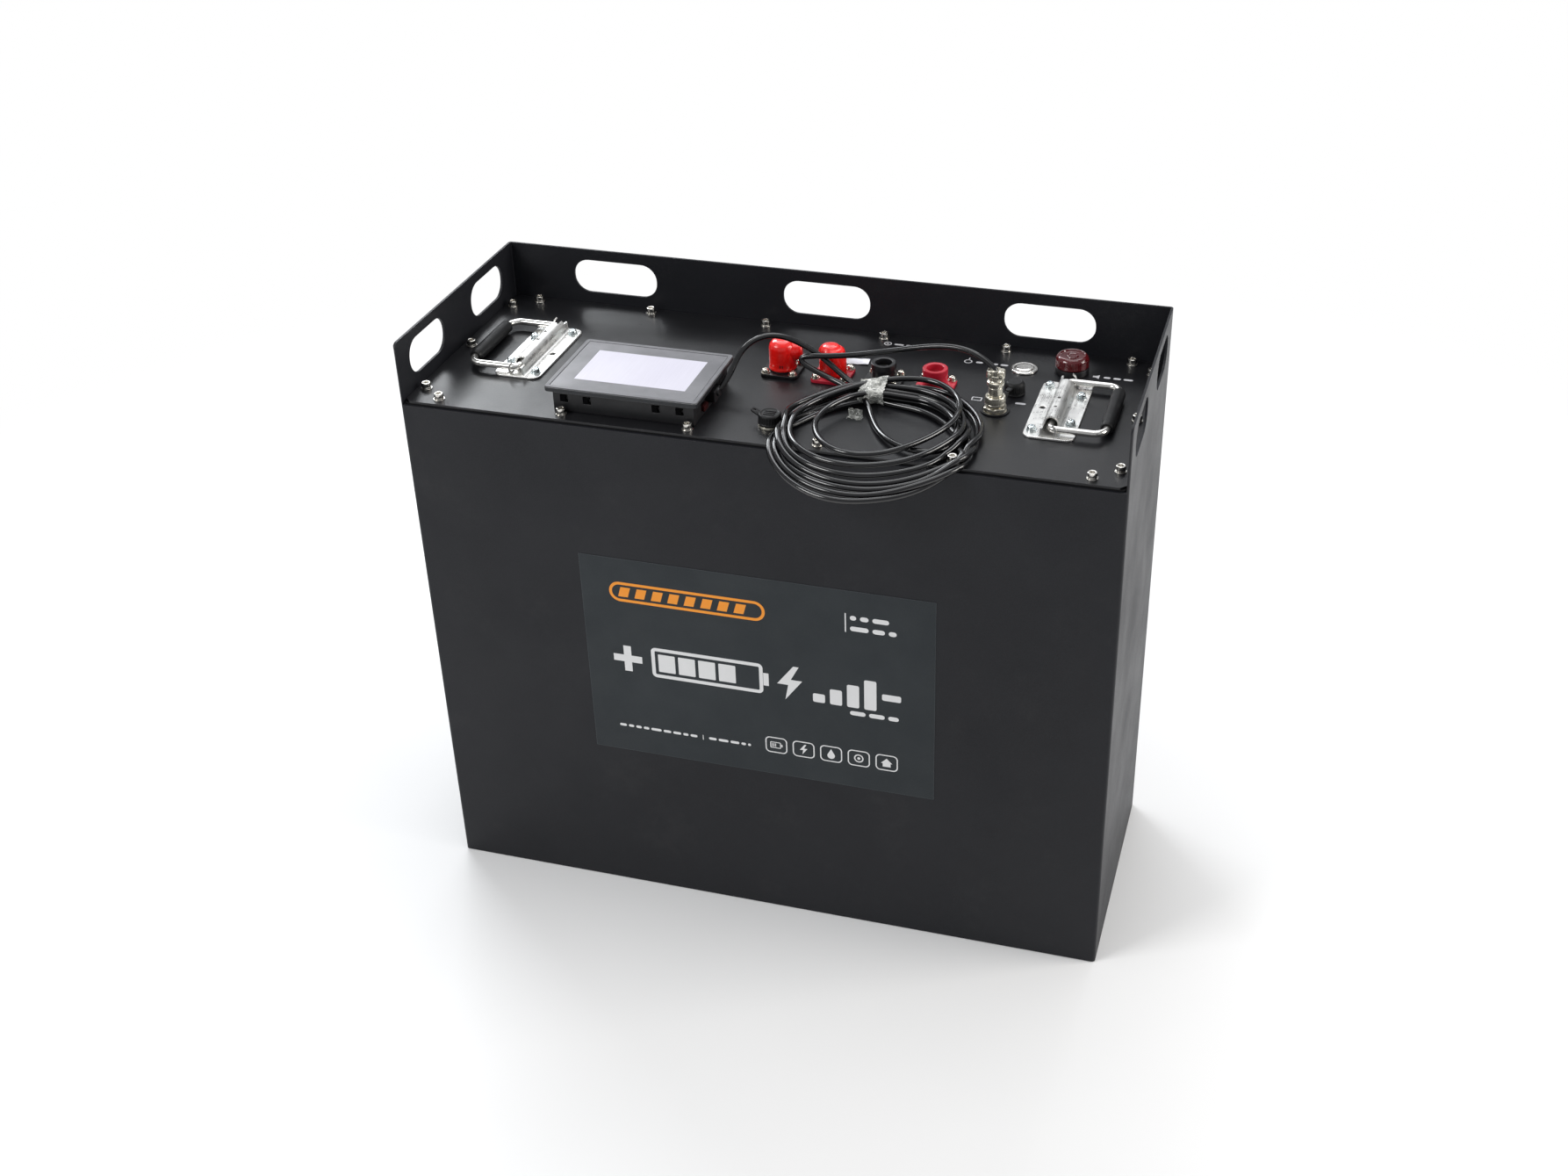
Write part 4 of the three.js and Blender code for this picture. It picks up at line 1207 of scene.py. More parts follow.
# ------------------------------------------------------------------ buzzer and switch
BUZZER_BASE = [
    (0, 460), (10.4, 460), (10.9, 460.6), (10.9, 491.0), (14.2, 491.65), (14.75, 492.1),
    (14.75, 496.6), (14.45, 497.3), (13.6, 497.75), (0, 497.8),
]
flutes = grooves(30, 0.018)
BUZZER_LENS = [
    (0, 498.1), (13.9, 498.1), (14.6, 498.5), (14.65, 499.2), (14.6, 499.9, flutes),
    (14.55, 504.6, flutes), (14.5, 505.3), (13.9, 506.6), (12.9, 507.7), (12.2, 508.2),
    (11.2, 508.4), (10.6, 508.1), (10.2, 507.2), (9.2, 506.9, grooves(24, 0.03)), (5.4, 506.9),
    (5.0, 507.6), (4.4, 507.9), (3.6, 507.7), (3.2, 507.2), (1.6, 507.1), (0, 507.4),
]
SWITCH_BODY = [
    (0, 466), (8.8, 466), (9.3, 466.6), (9.3, 491.3), (11.7, 491.6), (12.0, 491.9),
    (12.0, 492.6), (11.75, 493.1), (11.1, 493.5), (9.3, 493.75), (8.85, 493.6), (8.7, 493.2),
    (8.7, 488), (0, 488),
]
SWITCH_BUTTON = [
    (0, 490.9), (8.1, 490.9), (8.35, 491.2), (8.35, 493.6), (8.15, 494.0), (7.6, 494.3),
    (5.5, 494.62), (3, 494.78), (0, 494.85),
]
stand_in("buzzer_base", [lathe(BUZZER_BASE, 72, BUZZER)], BLACK)
stand_in("buzzer_lens", [lathe(BUZZER_LENS, 180, BUZZER)], LENS, angle=28)
stand_in("switch_body", [lathe(SWITCH_BODY, 96, SWITCH)], CHROME, slot="zinc_plate")
button = lathe(SWITCH_BUTTON, 96, SWITCH)
stand_in("switch_button", [button], CHROME, slot="zinc_plate", body="switch_button")

# ------------------------------------------------------------------ display connector
PORT_NUT = [
    (0, 492.5), (8.2, 492.5), (8.75, 493.0, hexagon), (8.75, 495.9, hexagon), (8.35, 496.5),
    (0, 496.5),
]
PORT_WASHER = [
    (0, 491.6), (9.7, 491.6), (9.9, 491.8), (9.9, 492.3), (9.7, 492.5), (0, 492.5)
]
knurled = knurl(44, 0.03)
PLUG_RING = [
    (6.75, 498.3), (7.0, 498.1), (8.4, 498.1), (8.7, 498.4), (8.75, 499.0), (8.75, 499.6),
    (8.6, 499.8), (8.75, 500.1, knurled), (8.75, 504.2, knurled), (8.6, 504.6), (8.7, 504.9),
    (8.6, 505.5), (8.2, 506.0), (7.7, 506.1), (6.6, 506.1), (6.35, 505.9), (6.35, 505.3),
    (6.75, 505.0),
]
PLUG_SHELL = [
    (0, 503.7), (6.2, 503.7), (6.2, 504.7), (5.85, 504.9), (5.85, 505.8), (5.95, 506.4),
    (5.95, 513.6), (5.7, 513.9), (5.7, 514.4), (5.95, 514.7), (5.95, 515.7), (6.6, 516.0),
    (7.1, 516.3), (7.3, 516.8), (7.3, 518.6), (7.1, 519.1), (6.5, 519.5), (5.6, 519.8),
    (5.2, 520.3), (5.2, 522.4), (0, 522.5),
]
PLUG_COLLAR = [
    (2.8, 524.5), (4.6, 524.5), (4.8, 529.2), (4.4, 530.0), (3.3, 530.0), (2.8, 529.5)
]
CLAMP_SCREW = [
    (0, 0), (1.75, 0), (1.75, 0.9), (1.4, 1.35), (0.75, 1.4), (0.7, 1.0, cross(0.35)), (0, 0.7)
]


def port_barrel():
    profile = [(0, 472), (7.2, 472), (7.7, 472.6), (7.7, 491.6), (6.3, 491.7)]
    z = 496.4
    while z < 503.0:
        profile += [(6.35, z), (6.0, z + 0.4)]
        z += 0.8
    profile += [(6.1, 503.4), (5.6, 503.5), (0, 503.5)]
    return lathe(profile, 48, PORT)


def display_plug():
    """Stepped shell, with a two-lobed cable clamp and its screws facing the front."""
    x, y = PORT
    parts = [lathe(PLUG_SHELL, 72, PORT)]
    for side in (-1, 1):
        parts.append(plate([rect(6.4, 9.2, 2.8, 8, x + side * 4.4, y)], 522.2, 529.6, 1.2, 4))
    parts.append(plate([rect(9.6, 10.0, 3.2, 8, x, y)], 522.0, 525.0, 0.8, 3))
    parts.append(lathe(PLUG_COLLAR, 40, PORT, ring=True))
    for side in (-1, 1):
        pose = shift(x + side * 5.0, y - 4.5, 526.2) @ UPRIGHT
        parts.append(moved(lathe(CLAMP_SCREW, 32), pose))
    stand_in("display_plug", parts, BRIGHT_NICKEL, angle=28, flat=True)


barrel = [lathe(PORT_NUT, 96, PORT), lathe(PORT_WASHER, 64, PORT), port_barrel()]
stand_in("display_socket", barrel, BRIGHT_NICKEL, angle=28)
plug_ring = lathe(PLUG_RING, 264, PORT, ring=True)
stand_in("display_plug_ring", [plug_ring], BRIGHT_NICKEL, body="plug_ring", angle=28)
display_plug()

# ------------------------------------------------------------------ dust cap and its strap
ridged = knurl(28, 0.05)
DUST_CAP = [
    (0, 500.4), (7.2, 500.4), (7.6, 500.0), (7.6, 492.2), (7.8, 491.8), (8.8, 491.75),
    (9.05, 492.0), (9.05, 493.0), (8.7, 493.3), (8.85, 493.7, ridged), (8.75, 499.6, ridged),
    (8.5, 500.6), (8.0, 501.8), (7.2, 502.9), (6.2, 503.4), (5.8, 503.2), (5.2, 503.15),
    (0, 503.5),
]
STRAP = [
    (189.4, 14.2, 499.5), (188.5, 11.0, 498.6), (187.7, 7.4, 495.6), (186.9, 3.6, 493.1),
    (186.0, -0.4, 492.35),
]
STRAP_SECTION = [
    (-1.5, -0.5), (1.5, -0.5), (1.65, -0.3), (1.65, 0.3),
    (1.5, 0.5), (-1.5, 0.5), (-1.65, 0.3), (-1.65, -0.3),
]
lug = plate([stroke(0, 0, 4.6, 0, 2.3, 8)], 498.6, 500.6, 0.4)
lug = moved(lug, shift(*DUST) @ turn("Z", 255) @ shift(7.4, 0))
dust_cap = moved(lathe(DUST_CAP, 168), shift(*DUST))
stand_in("display_dust_cap", [dust_cap, lug], RUBBER, angle=30)
strap = sweep(catmull(STRAP, 0.8), STRAP_SECTION)
strap_loop = plate([circle(12.4, 48, *PORT), circle(10.15, 48, *PORT)], 491.75, 492.85, 0.3)
piece("display_dust_cap_strap", [strap, strap_loop], RUBBER)

# ------------------------------------------------------------------ communication port
COMM_PORT = [
    (0, 474), (7.2, 474), (7.7, 474.6), (7.7, 491.2), (9.7, 491.6), (10.0, 491.9),
    (10.0, 493.4), (9.7, 493.9), (8.9, 494.2), (7.7, 494.3), (7.6, 494.7), (7.6, 497.2),
    (7.2, 497.5), (0, 497.5),
]
ridged = knurl(26, 0.045)
COMM_CAP = [
    (0, 497.8), (7.6, 497.8), (8.0, 497.4), (8.0, 494.9), (8.3, 494.55), (9.8, 494.55),
    (10.1, 494.9), (10.1, 495.9), (9.75, 496.3), (9.8, 496.8, ridged), (9.7, 501.6, ridged),
    (9.6, 502.4), (9.1, 503.4), (8.2, 503.9), (7.4, 503.7), (6.9, 503.3), (0, 503.45),
]
stand_in("comm_port", [lathe(COMM_PORT, 72, COMM)], BRIGHT_NICKEL)
tab = plate([stroke(0, 0, 7.2, 0, 3.2, 10), circle(1.3, 20, 7.0, 0)], 0, 1.5, 0.4)
pose = shift(*COMM, 499.2) @ turn("Z", 168) @ shift(8.4, 0) @ turn("Y", -24)
comm_cap = [lathe(COMM_CAP, 156, COMM), moved(tab, pose)]
for dy in (-3, 0, 3):
    x, y = COMM[0], COMM[1] + dy
    comm_cap.append(plate([stroke(x - 4.2, y, x + 4.2, y, 0.7, 5)], 503.2, 504.05, 0.25))
stand_in("comm_port_cap", comm_cap, RUBBER, body="comm_port_cap", angle=30)

# ------------------------------------------------------------------ display lead
LEAD_RADIUS = 2.5
LEAD = [  # (x, y, z) along the lead, from the display to the connector
    (-51.0, -52.6, 502.5), (-44.5, -50.8, 502.6), (-40.6, -46.5, 505.6), (-39.2, -41.5, 511.0),
    (-38.6, -34.0, 519.5), (-36.6, -24.0, 529.8), (-25.7, -13.5, 537.5), (-10.8, -3.5, 538.8),
    (1.8, 1.6, 532.2), (16.6, 2.6, 525.3), (27.7, 2.4, 519.4), (35.4, 0.4, 513.9),
    (46.0, -3.0, 505.4), (60.0, -9.5, 501.0), (72.0, -15.0, 497.5), (99.0, -26.4, 494.4),
    (120.0, -28.8, 494.4), (137.6, -38.1, 494.4), (153.7, -53.7, 494.4), (166.2, -72.6, 494.4),
    (174.0, -92.3, 494.4), (174.7, -116.0, 494.4), (164.6, -134.6, 490.5), (149.9, -149.6, 486.9),
    (133.2, -161.1, 484.1), (109.6, -171.0, 481.7), (86.7, -174.2, 481.0), (66.7, -169.3, 482.2),
    (45.9, -157.9, 484.9), (30.9, -143.4, 488.4), (21.0, -129.2, 492.5), (17.0, -112.3, 494.1),
    (18.7, -94.1, 494.4), (26.7, -77.1, 494.4), (37.7, -62.1, 494.4), (50.1, -46.6, 494.4),
    (61.2, -35.9, 495.1), (71.7, -27.4, 496.1), (97.7, -21.3, 495.6), (116.4, -14.1, 494.4),
    (135.1, -21.8, 494.4), (153.0, -38.8, 494.4), (167.2, -59.1, 494.4), (177.9, -79.8, 494.4),
    (179.5, -102.2, 494.4), (173.9, -123.9, 494.1), (163.7, -136.1, 490.4), (149.6, -148.3, 487.8),
    (132.5, -158.5, 485.5), (114.6, -165.2, 484.0), (92.9, -167.7, 483.5), (70.6, -164.1, 484.3),
    (50.2, -154.3, 486.4), (34.4, -140.1, 489.6), (24.1, -126.0, 493.4), (20.2, -105.6, 494.4),
    (22.8, -87.1, 494.4), (29.8, -68.7, 494.4), (41.3, -50.4, 494.4), (55.0, -33.8, 495.6),
    (69.7, -25.3, 497.1), (96.0, -10.5, 494.4), (111.0, -2.6, 494.4), (133.1, -2.8, 494.4),
    (150.0, -10.5, 494.4), (164.7, -23.6, 494.4), (176.0, -43.5, 494.4), (181.6, -62.8, 494.4),
    (180.9, -87.6, 494.4), (173.8, -117.6, 494.4), (161.0, -136.1, 490.8), (145.6, -147.9, 488.4),
    (129.2, -155.9, 486.8), (109.4, -160.6, 485.9), (85.4, -160.2, 486.0), (65.0, -154.1, 487.2),
    (45.6, -143.6, 489.3), (32.4, -130.4, 492.4), (23.6, -112.9, 494.1), (19.5, -92.4, 494.4),
    (21.5, -73.9, 494.4), (28.9, -56.5, 495.1), (40.2, -41.7, 496.1), (53.7, -29.3, 497.1),
    (68.2, -19.8, 498.1), (95.0, -7.0, 499.1), (111.6, 2.6, 499.4), (133.8, 1.2, 499.1),
    (150.0, -7.9, 498.6), (163.6, -22.1, 498.1), (175.4, -40.0, 497.1), (181.9, -57.2, 496.1),
    (183.0, -75.5, 495.1), (177.1, -97.5, 494.6), (167.2, -117.9, 494.4), (152.7, -134.3, 491.6),
    (135.8, -145.8, 489.6), (115.5, -153.9, 488.2), (92.4, -156.4, 487.8), (71.7, -154.2, 488.2),
    (53.6, -147.3, 489.4), (37.8, -135.6, 491.4), (27.0, -120.7, 494.1), (19.9, -100.2, 494.6),
    (18.1, -78.7, 495.6), (24.4, -60.2, 497.1), (36.4, -43.1, 498.6), (50.9, -29.3, 500.1),
    (67.3, -16.7, 501.1), (95.9, -14.3, 499.6), (115.6, -11.4, 499.1), (135.5, -17.9, 498.6),
    (155.3, -30.9, 497.6), (168.7, -46.7, 496.6), (173.7, -64.3, 495.6), (171.8, -85.6, 495.1),
    (164.9, -107.8, 495.1), (151.0, -127.5, 495.1), (134.1, -139.0, 493.8), (116.4, -147.2, 492.8),
    (93.5, -150.9, 492.3), (72.8, -148.5, 492.6), (54.8, -142.1, 493.4), (40.4, -132.6, 494.6),
    (29.1, -118.3, 496.1), (21.0, -97.9, 496.6), (17.9, -75.7, 497.1), (22.4, -58.1, 498.1),
    (34.2, -40.5, 500.1), (50.1, -26.4, 502.1), (66.8, -14.5, 504.6), (95.0, -10.7, 503.6),
    (115.0, -8.8, 503.1), (134.6, -14.3, 502.1), (152.8, -26.4, 501.1), (164.4, -44.3, 500.1),
    (168.5, -62.2, 499.1), (165.3, -81.1, 498.6), (157.5, -99.5, 498.6), (142.6, -120.2, 498.6),
    (123.8, -135.1, 498.3), (102.3, -143.9, 497.9), (78.4, -144.5, 497.9), (60.6, -138.5, 498.2),
    (42.8, -124.8, 499.0), (29.7, -103.6, 499.1), (26.1, -84.7, 499.6), (29.1, -63.6, 500.1),
    (38.6, -45.6, 501.6), (51.5, -31.3, 503.1), (68.3, -20.0, 505.1), (93.7, -5.8, 508.1),
    (112.4, 1.6, 508.1), (131.3, -0.7, 508.1), (150.1, -15.0, 506.6), (160.3, -35.7, 505.1),
    (160.3, -59.4, 504.1), (152.9, -80.0, 503.1), (141.2, -98.4, 502.1), (122.7, -120.7, 501.6),
    (104.5, -132.4, 501.6), (80.5, -132.9, 501.6), (61.3, -117.9, 501.6), (49.2, -95.7, 502.1),
    (46.3, -76.5, 502.6), (52.3, -58.6, 503.6), (65.0, -38.8, 504.6), (72.9, -29.0, 505.1),
    (97.7, -21.2, 498.6), (116.8, -15.9, 497.6), (137.1, -24.8, 497.6), (155.1, -42.2, 497.1),
    (165.1, -62.1, 497.1), (166.1, -84.2, 496.6), (158.0, -101.2, 496.6), (143.7, -108.5, 496.6),
    (126.2, -102.7, 496.1), (111.6, -93.3, 495.6), (98.3, -76.7, 495.1), (88.3, -56.7, 495.1),
    (80.9, -38.1, 495.6), (78.2, -29.5, 497.5), (66.0, -19.5, 500.6), (52.3, -12.5, 500.4),
    (44.0, -9.2, 501.6), (35.9, -7.4, 503.2), (28.0, -6.2, 506.2), (20.0, -5.0, 509.5),
    (11.0, -4.0, 512.6), (4.2, -3.4, 514.2), (1.2, -3.1, 516.6), (3.4, -3.0, 519.0),
    (10.0, -2.9, 519.9), (24.3, -2.6, 520.0), (47.6, -1.2, 521.8), (72.8, 0.6, 526.8),
    (97.7, 2.2, 532.1), (122.9, 2.2, 538.4), (148.7, -0.6, 542.3), (163.5, -4.2, 541.0),
    (173.5, -7.6, 537.6), (179.6, -9.8, 533.2), (182.4, -10.4, 529.0), (183.0, -10.5, 525.5),
]
# fittings the lead stays clear of: x, y, clear radius, height it may pass over
POSTS = [(*COMM, 13.4, 508.0)]
POSTS += [(x, -SCREW_Y, 7.6, 501.2) for x in SCREW_X[3:5]]
POSTS += [(x, SOCKET_Y, 13.9, 514.0) for x in SOCKET_X[2:]]
POSTS += [(x, SOCKET_Y, 15.4, 525.5) for x in SOCKET_X[:2]]
POSTS += [(*PORT, 13.2, 509.0)]
SOCKET_EDGE_Y = -0.9  # low strands stay in front of this line beside the socket flanges


def rest_height(pos):
    """Lowest z for the middle of the lead at each point, over the lid and the two front edges."""
    floor = np.where(pos[:, 1] > LID_FRONT_Y, LID + 0.08, -1e9) + LEAD_RADIUS
    radius = LEAD_RADIUS + 0.15
    for edge_y, edge_z in ((LID_FRONT_Y, LID), (FRONT_Y, WALL_TOP)):
        off = np.abs(pos[:, 1] - edge_y)
        over = edge_z + np.sqrt(np.maximum(radius * radius - off * off, 0))
        floor = np.where(off < radius, np.maximum(floor, over), floor)
    return floor


def settle(points):
    """Lays the lead on the lid: strands keep a cable's width apart and clear the fittings."""
    rounds, homing = 90, 70  # rounds in all, and those that pull back to the first route
    push_rate, most, pull = 0.35, 1.2, 0.04  # share of overlap, step limit, share of way home
    pos = catmull(points, 4.0)
    home = pos.copy()
    count = len(pos)
    index = np.arange(count)
    apart = np.abs(index[:, None] - index[None, :]) > 4
    gap = 2 * LEAD_RADIUS + 0.05
    free = (index > 14) & (index < count - 30)  # both ends stay with their plugs
    for i in range(rounds):
        delta = pos[:, None, :] - pos[None, :, :]
        dist = np.sqrt((delta**2).sum(-1)) + 1e-9
        push = np.where(apart & (dist < gap), (gap - dist) / dist * push_rate, 0.0)
        push = push * free[:, None]
        move = (delta * push[:, :, None]).sum(1)
        size = np.linalg.norm(move, axis=1, keepdims=True)
        move *= np.minimum(1.0, most / np.maximum(size, 1e-9))
        pos = pos + move
        if i < homing:
            pos = pos + (home - pos) * pull
        pos[2:-2] = pos[2:-2] * 0.7 + 0.15 * (pos[1:-3] + pos[3:-1])
        for x, y, radius, top in POSTS:
            away = pos[:, :2] - np.array([x, y])
            length = np.linalg.norm(away, axis=1)
            hit = (length < radius) & (pos[:, 2] < top) & free
            scale = (radius / np.maximum(length[hit], 1e-6))[:, None]
            pos[hit, :2] = np.array([x, y]) + away[hit] * scale
        hit = (pos[:, 1] > SOCKET_EDGE_Y) & (pos[:, 2] < 497.6) & free
        hit &= (pos[:, 0] > -30) & (pos[:, 0] < 143)
        pos[hit, 1] = SOCKET_EDGE_Y
        pos[:, 2] = np.maximum(pos[:, 2], rest_height(pos))
        front = (pos[:, 1] < FRONT_Y) & (pos[:, 2] < WALL_TOP)
        pos[front, 1] = np.minimum(pos[front, 1], FRONT_Y - LEAD_RADIUS - 0.1)
    return pos


lead = resample(catmull(settle(LEAD), 1.5), 1.5)
for _ in range(2):
    lead[1:-1] = 0.5 * lead[1:-1] + 0.25 * (lead[:-2] + lead[2:])
lead_tube = tube(lead, LEAD_RADIUS, 20)
piece("display_lead_full", [lead_tube], JACKET, replaces="display_cable", angle=70)

# ------------------------------------------------------------------ clear tape round the coil
TAPE_LEFT, TAPE_RIGHT = 68.5, 90.5
TAPE_ROWS = 48  # steps along X
TAPE_POINTS = 120  # points round the band
TAPE_THICKNESS = 0.16


def band_section(x):
    """Outline, in y and z, of a band pulled round the strands crossing the plane at x."""
    strands = []
    for a, b in zip(lead[:-1], lead[1:]):
        if (a[0] - x) * (b[0] - x) <= 0 and abs(a[0] - b[0]) > 1e-6:
            t = (x - a[0]) / (b[0] - a[0])
            crossing = a + (b - a) * t
            if -31 < crossing[1] < 4 and crossing[2] < 513:
                strands.append(crossing[1:])
    strands = np.array(strands)
    count = 240
    angles = np.linspace(0, 2 * math.pi, count, endpoint=False)
    dirs = np.stack([np.cos(angles), np.sin(angles)], 1)
    reach = (strands @ dirs.T).max(0) + LEAD_RADIUS + 0.3
    hull = []
    for k in range(count):
        j = (k + 1) % count
        hull.append(np.linalg.solve(np.array([dirs[k], dirs[j]]), np.array([reach[k], reach[j]])))
    hull = np.array(hull)
    top = int(np.argmax((hull - strands.mean(0))[:, 1]))
    hull = np.roll(hull, -top, axis=0)
    loop = np.vstack([hull, hull[:1]])
    length = distances(loop)
    stations = np.linspace(0, length[-1], TAPE_POINTS + 1)[:-1]
    return np.stack([np.interp(stations, length, loop[:, k]) for k in (0, 1)], 1)


def crinkle(u, v):
    wave = math.sin(9.0 * u + 3.1 * math.sin(2.3 * v))
    wave += math.sin(7.0 * v + 2.2 * math.sin(3.7 * u + 1.0))
    fold = abs(math.sin(15.0 * u - 11.0 * v + 1.7 * math.sin(5.0 * u)))
    fold += abs(math.sin(13.0 * u + 17.0 * v))
    return 0.18 * wave + 0.42 * fold - 0.2


def tape_sections():
    """X stations and band outlines, gathered in towards the left end and evened out."""
    stations = [TAPE_LEFT + (TAPE_RIGHT - TAPE_LEFT) * (k / TAPE_ROWS) for k in range(TAPE_ROWS + 1)]
    sections = np.array([band_section(x) for x in stations])
    half = TAPE_ROWS // 2
    centre = sections[half]
    for k in range(half):
        section = sections[k]
        goal = centre - centre.mean(0) + section.mean(0)
        sections[k] = section + (goal - section) * 0.55 * (1 - 2 * k / TAPE_ROWS) ** 0.5
    for _ in range(4):
        before = np.concatenate([sections[:1], sections[:-1]])
        after = np.concatenate([sections[1:], sections[-1:]])
        sections = (before + sections * 2 + after) / 4
    return stations, sections


def tape_band():
    """Closed crinkled sleeve with ragged ends, flat where it meets the lid."""
    rng = np.random.default_rng(7)
    stations, sections = tape_sections()
    ragged = rng.normal(0, 1, (2, TAPE_POINTS))
    for _ in range(2):
        ragged = (np.roll(ragged, 1, axis=1) + ragged * 2 + np.roll(ragged, -1, axis=1)) / 4
    outer, inner = [], []
    for k, (x, section) in enumerate(zip(stations, sections)):
        t = k / TAPE_ROWS
        middle = section.mean(0)
        jitter = rng.normal(0, 0.07, TAPE_POINTS)
        for j, point in enumerate(section):
            out = point - middle
            out = out / np.linalg.norm(out)
            lift = crinkle(j / TAPE_POINTS * 9.0, t * 2.2) + 0.12 * jitter[j]
            lift = 0.0 if point[1] - lift < LID + 0.4 else max(lift, 0.02)
            end_x = x + ((1 - t) * -0.8 * ragged[0][j] + t * 0.9 * ragged[1][j])
            y, z = point + out * lift
            outer.append((end_x, y, max(z, LID + 0.32)))
            y, z = point + out * (lift - TAPE_THICKNESS)
            inner.append((end_x, y, max(z, LID + 0.14)))
    faces = []
    off = len(outer)
    for k in range(TAPE_ROWS):
        low, high = k * TAPE_POINTS, (k + 1) * TAPE_POINTS
        for j in range(TAPE_POINTS):
            i = (j + 1) % TAPE_POINTS
            faces.append((low + j, low + i, high + i, high + j))
            faces.append((off + low + i, off + low + j, off + high + j, off + high + i))
    for row, order in ((0, -1), (TAPE_ROWS * TAPE_POINTS, 1)):
        for j in range(TAPE_POINTS):
            i = (j + 1) % TAPE_POINTS
            faces.append((row + j, row + i, off + row + i, off + row + j)[::order])
    return outer + inner, faces


def sheet(across, along, surface, thick):
    """Thin closed sheet: surface(u, v) gives its middle."""
    rows = [[surface(i / across, j / along) for j in range(along + 1)] for i in range(across + 1)]
    grid = np.array(rows, float)
    normals = np.cross(np.gradient(grid, axis=0), np.gradient(grid, axis=1))
    normals /= np.maximum(np.linalg.norm(normals, axis=2, keepdims=True), 1e-9)
    top, bottom = grid + normals * thick / 2, grid - normals * thick / 2
    off = (across + 1) * (along + 1)
    verts = [tuple(v) for side in (top, bottom) for v in side.reshape(-1, 3)]

    def at(i, j):
        return i * (along + 1) + j

    faces = []
    for i in range(across):
        for j in range(along):
            quad = (at(i, j), at(i + 1, j), at(i + 1, j + 1), at(i, j + 1))
            faces.append(quad)
            faces.append(tuple(off + k for k in quad[::-1]))
    rim = [at(i, 0) for i in range(across)] + [at(across, j) for j in range(along)]
    rim += [at(i, along) for i in range(across, 0, -1)] + [at(0, j) for j in range(along, 0, -1)]
    for a, b in zip(rim, rim[1:] + rim[:1]):
        faces.append((b, a, off + a, off + b))
    return verts, faces


def tape_tail(u, v):
    """Loose rumpled end lying in front of the band."""
    x = 66.0 + 13.0 * u + 1.2 * math.sin(5 * v)
    y = -56.5 + 13.5 * v - 2.5 * u
    rumple = 0.9 * abs(math.sin(8 * u + 3 * v)) + 0.5 * abs(math.sin(11 * v - 4 * u))
    return x, y, LID + 0.9 + 2.6 * v * v + rumple


def silver_tag(u, v):
    """Slightly curled tag lying behind the sockets."""
    x = 31.0 + 26.0 * u
    y = 45.5 + 11.0 * v + 2.0 * u - 3.0 * v * u
    z = LID + 0.55 + 1.5 * (u - 0.35) ** 2 + 1.6 * v * v * u + 0.12 * math.sin(17 * u)
    return x, y, z


stand_in("cable_tape", [tape_band()], TAPE, angle=24)
piece("cable_tape_tail", [sheet(22, 20, tape_tail, 0.14)], TAPE_END, angle=40)
piece("silver_tag", [sheet(30, 14, silver_tag, 0.22)], SILVER, angle=40)

# ------------------------------------------------------------------ printed marks
LABEL_PRINT = (118.862, 118.90)  # distance of the ink in front of y 0
LID_PRINT = (LID + 0.004, LID + 0.05)
BOLT = (
    (0.10, 0.5), (-0.32, -0.06), (-0.04, -0.06), (-0.12, -0.5), (0.32, 0.10), (0.03, 0.10),
    (0.24, 0.5),
)
PLUS = (  # arms 27 long and 7.2 wide
    (-3.6, -13.5), (3.6, -13.5), (3.6, -3.6), (13.5, -3.6), (13.5, 3.6), (3.6, 3.6),
    (3.6, 13.5), (-3.6, 13.5), (-3.6, 3.6), (-13.5, 3.6), (-13.5, -3.6), (-3.6, -3.6),
)
ARROW = (
    (-5.2, -0.6), (0, 4.6), (5.2, -0.6), (3.6, -0.6), (3.6, -4.4), (-3.6, -4.4), (-3.6, -0.6)
)
HORN = ((-3.3, -1.5), (-0.8, -1.5), (2.3, -3.7), (2.3, 3.7), (-0.8, 1.5), (-3.3, 1.5))
GAUGE_CELL = ((-5.2, -4.9), (3.8, -4.9), (6.6, 4.9), (-2.4, 4.9))


def battery_mark(x, y, w, h, cells, line, corner):
    """Battery symbol with its lower left corner at (x, y)."""
    mid_x, mid_y = x + w / 2, y + h / 2
    loops = [rect(w, h, corner, 5, mid_x, mid_y)]
    loops.append(rect(w - 2 * line, h - 2 * line, max(corner - line, 0.3), 4, mid_x, mid_y))
    loops.append(rect(w * 0.04 + 0.8, h * 0.42, 0.3, 2, x + w + w * 0.02 + 0.7, mid_y))
    gap = line * 0.9
    pitch = (w - 2 * line - gap) / 5
    wide, tall = pitch - gap, h - 2 * line - 2 * gap
    for i in range(cells):
        cell_x = x + line + gap + pitch * (i + 0.5) - gap / 2
        loops.append(rect(wide, tall, min(0.8, wide / 3), 3, cell_x, mid_y))
    return loops


def drop(x, y, size):
    points = [(x, y + size * 0.55)]
    for i in range(17):
        angle = math.radians(35 - 250 * i / 16)
        reach = size * 0.33
        points.append((x + reach * math.cos(angle), y - size * 0.14 + reach * math.sin(angle)))
    return points


def dashes(x, end, y, height, seed):
    """Row of round-ended dashes of random length, standing for a line of text."""
    rng = np.random.default_rng(seed)
    out = []
    while x < end - height:
        width = float(rng.uniform(2.0, 7.5)) * height / 2
        width = min(width, end - x)
        if width > height:
            out.append(stroke(x + height / 2, y, x + width - height / 2, y, height / 2, 5))
        x += width + height * 0.7
    return out


def printed(name, loops, look, depth, pose=Matrix()):
    mesh = mesh_of(name, [moved(plate(loops, *depth), pose)], weld=0.0005)
    mesh.materials.append(look.material)
    place(name, mesh, look.slot)


